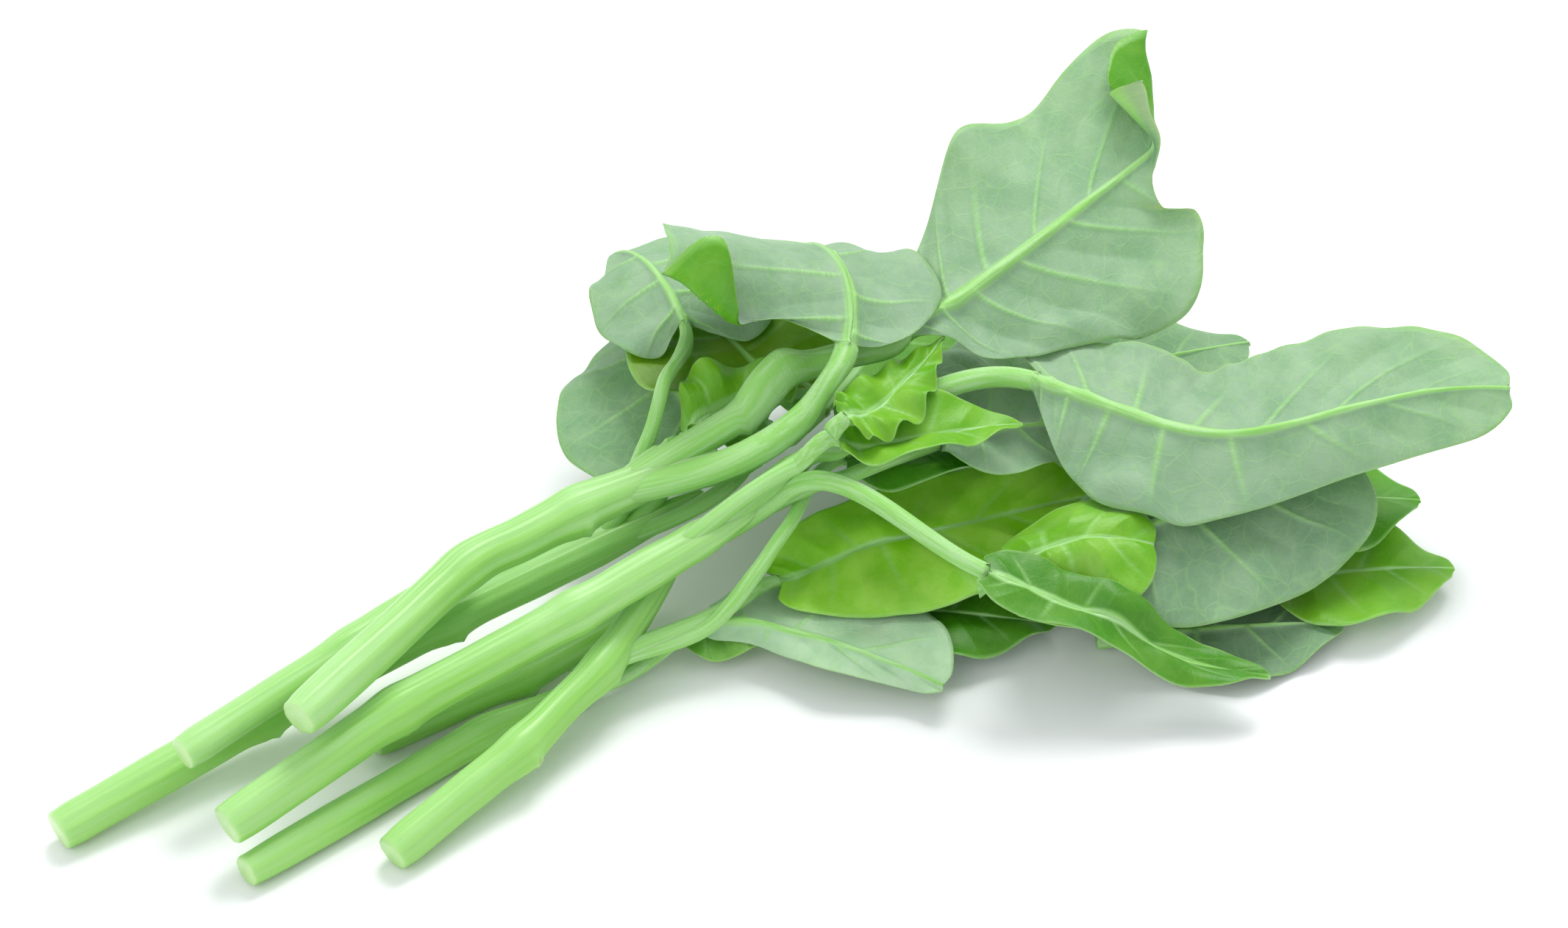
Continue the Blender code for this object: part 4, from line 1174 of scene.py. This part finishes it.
class OBJECT_OT_spinach_stems(bpy.types.Operator):
    """Lay the cut stems"""

    bl_idname = "object.spinach_stems"
    bl_label = "Stems"

    def execute(self, context):
        scene = context.scene
        tree = sweep_tree()
        for seed, stem in enumerate(STEMS):
            stem_piece(stem, tree, scene.spinach_stem, scene.spinach_colours, 40 + seed)
        return {"FINISHED"}


class OBJECT_OT_spinach_upper_leaves(bpy.types.Operator):
    """Heap the other leaves over the stems"""

    bl_idname = "object.spinach_upper_leaves"
    bl_label = "Upper Leaves"

    def execute(self, context):
        lay_leaves(context.scene, UPPER_LEAVES, 200)
        return {"FINISHED"}


class VIEW3D_PT_spinach(bpy.types.Panel):
    """Lists the steps in their order"""

    bl_label = "Spinach Bunch"
    bl_space_type = "VIEW_3D"
    bl_region_type = "UI"
    bl_category = "Spinach"

    def draw(self, context):
        for operator in OPERATORS:
            self.layout.operator(operator.bl_idname)
        for group in GROUPS:
            holder = getattr(context.scene, group)
            for name in holder.bl_rna.properties.keys():
                if name not in ("name", "rna_type"):
                    self.layout.prop(holder, name)


GROUPS = {
    "spinach_blade": SpinachBladeSizes,
    "spinach_stem": SpinachStemSizes,
    "spinach_colours": SpinachColours,
    "spinach_stage": SpinachStage,
}
OPERATORS = (
    OBJECT_OT_spinach_stage,
    OBJECT_OT_spinach_stems,
    OBJECT_OT_spinach_low_leaves,
    OBJECT_OT_spinach_upper_leaves,
)


def register():
    for kind in (*GROUPS.values(), *OPERATORS, VIEW3D_PT_spinach):
        bpy.utils.register_class(kind)
    for name, kind in GROUPS.items():
        setattr(bpy.types.Scene, name, bpy.props.PointerProperty(type=kind))


def unregister():
    for name in GROUPS:
        delattr(bpy.types.Scene, name)
    for kind in reversed((*GROUPS.values(), *OPERATORS, VIEW3D_PT_spinach)):
        bpy.utils.unregister_class(kind)


def main():
    register()
    bpy.ops.object.spinach_stage()
    bpy.ops.object.spinach_low_leaves()
    bpy.ops.object.spinach_stems()
    bpy.ops.object.spinach_upper_leaves()


if __name__ == "__main__":
    main()
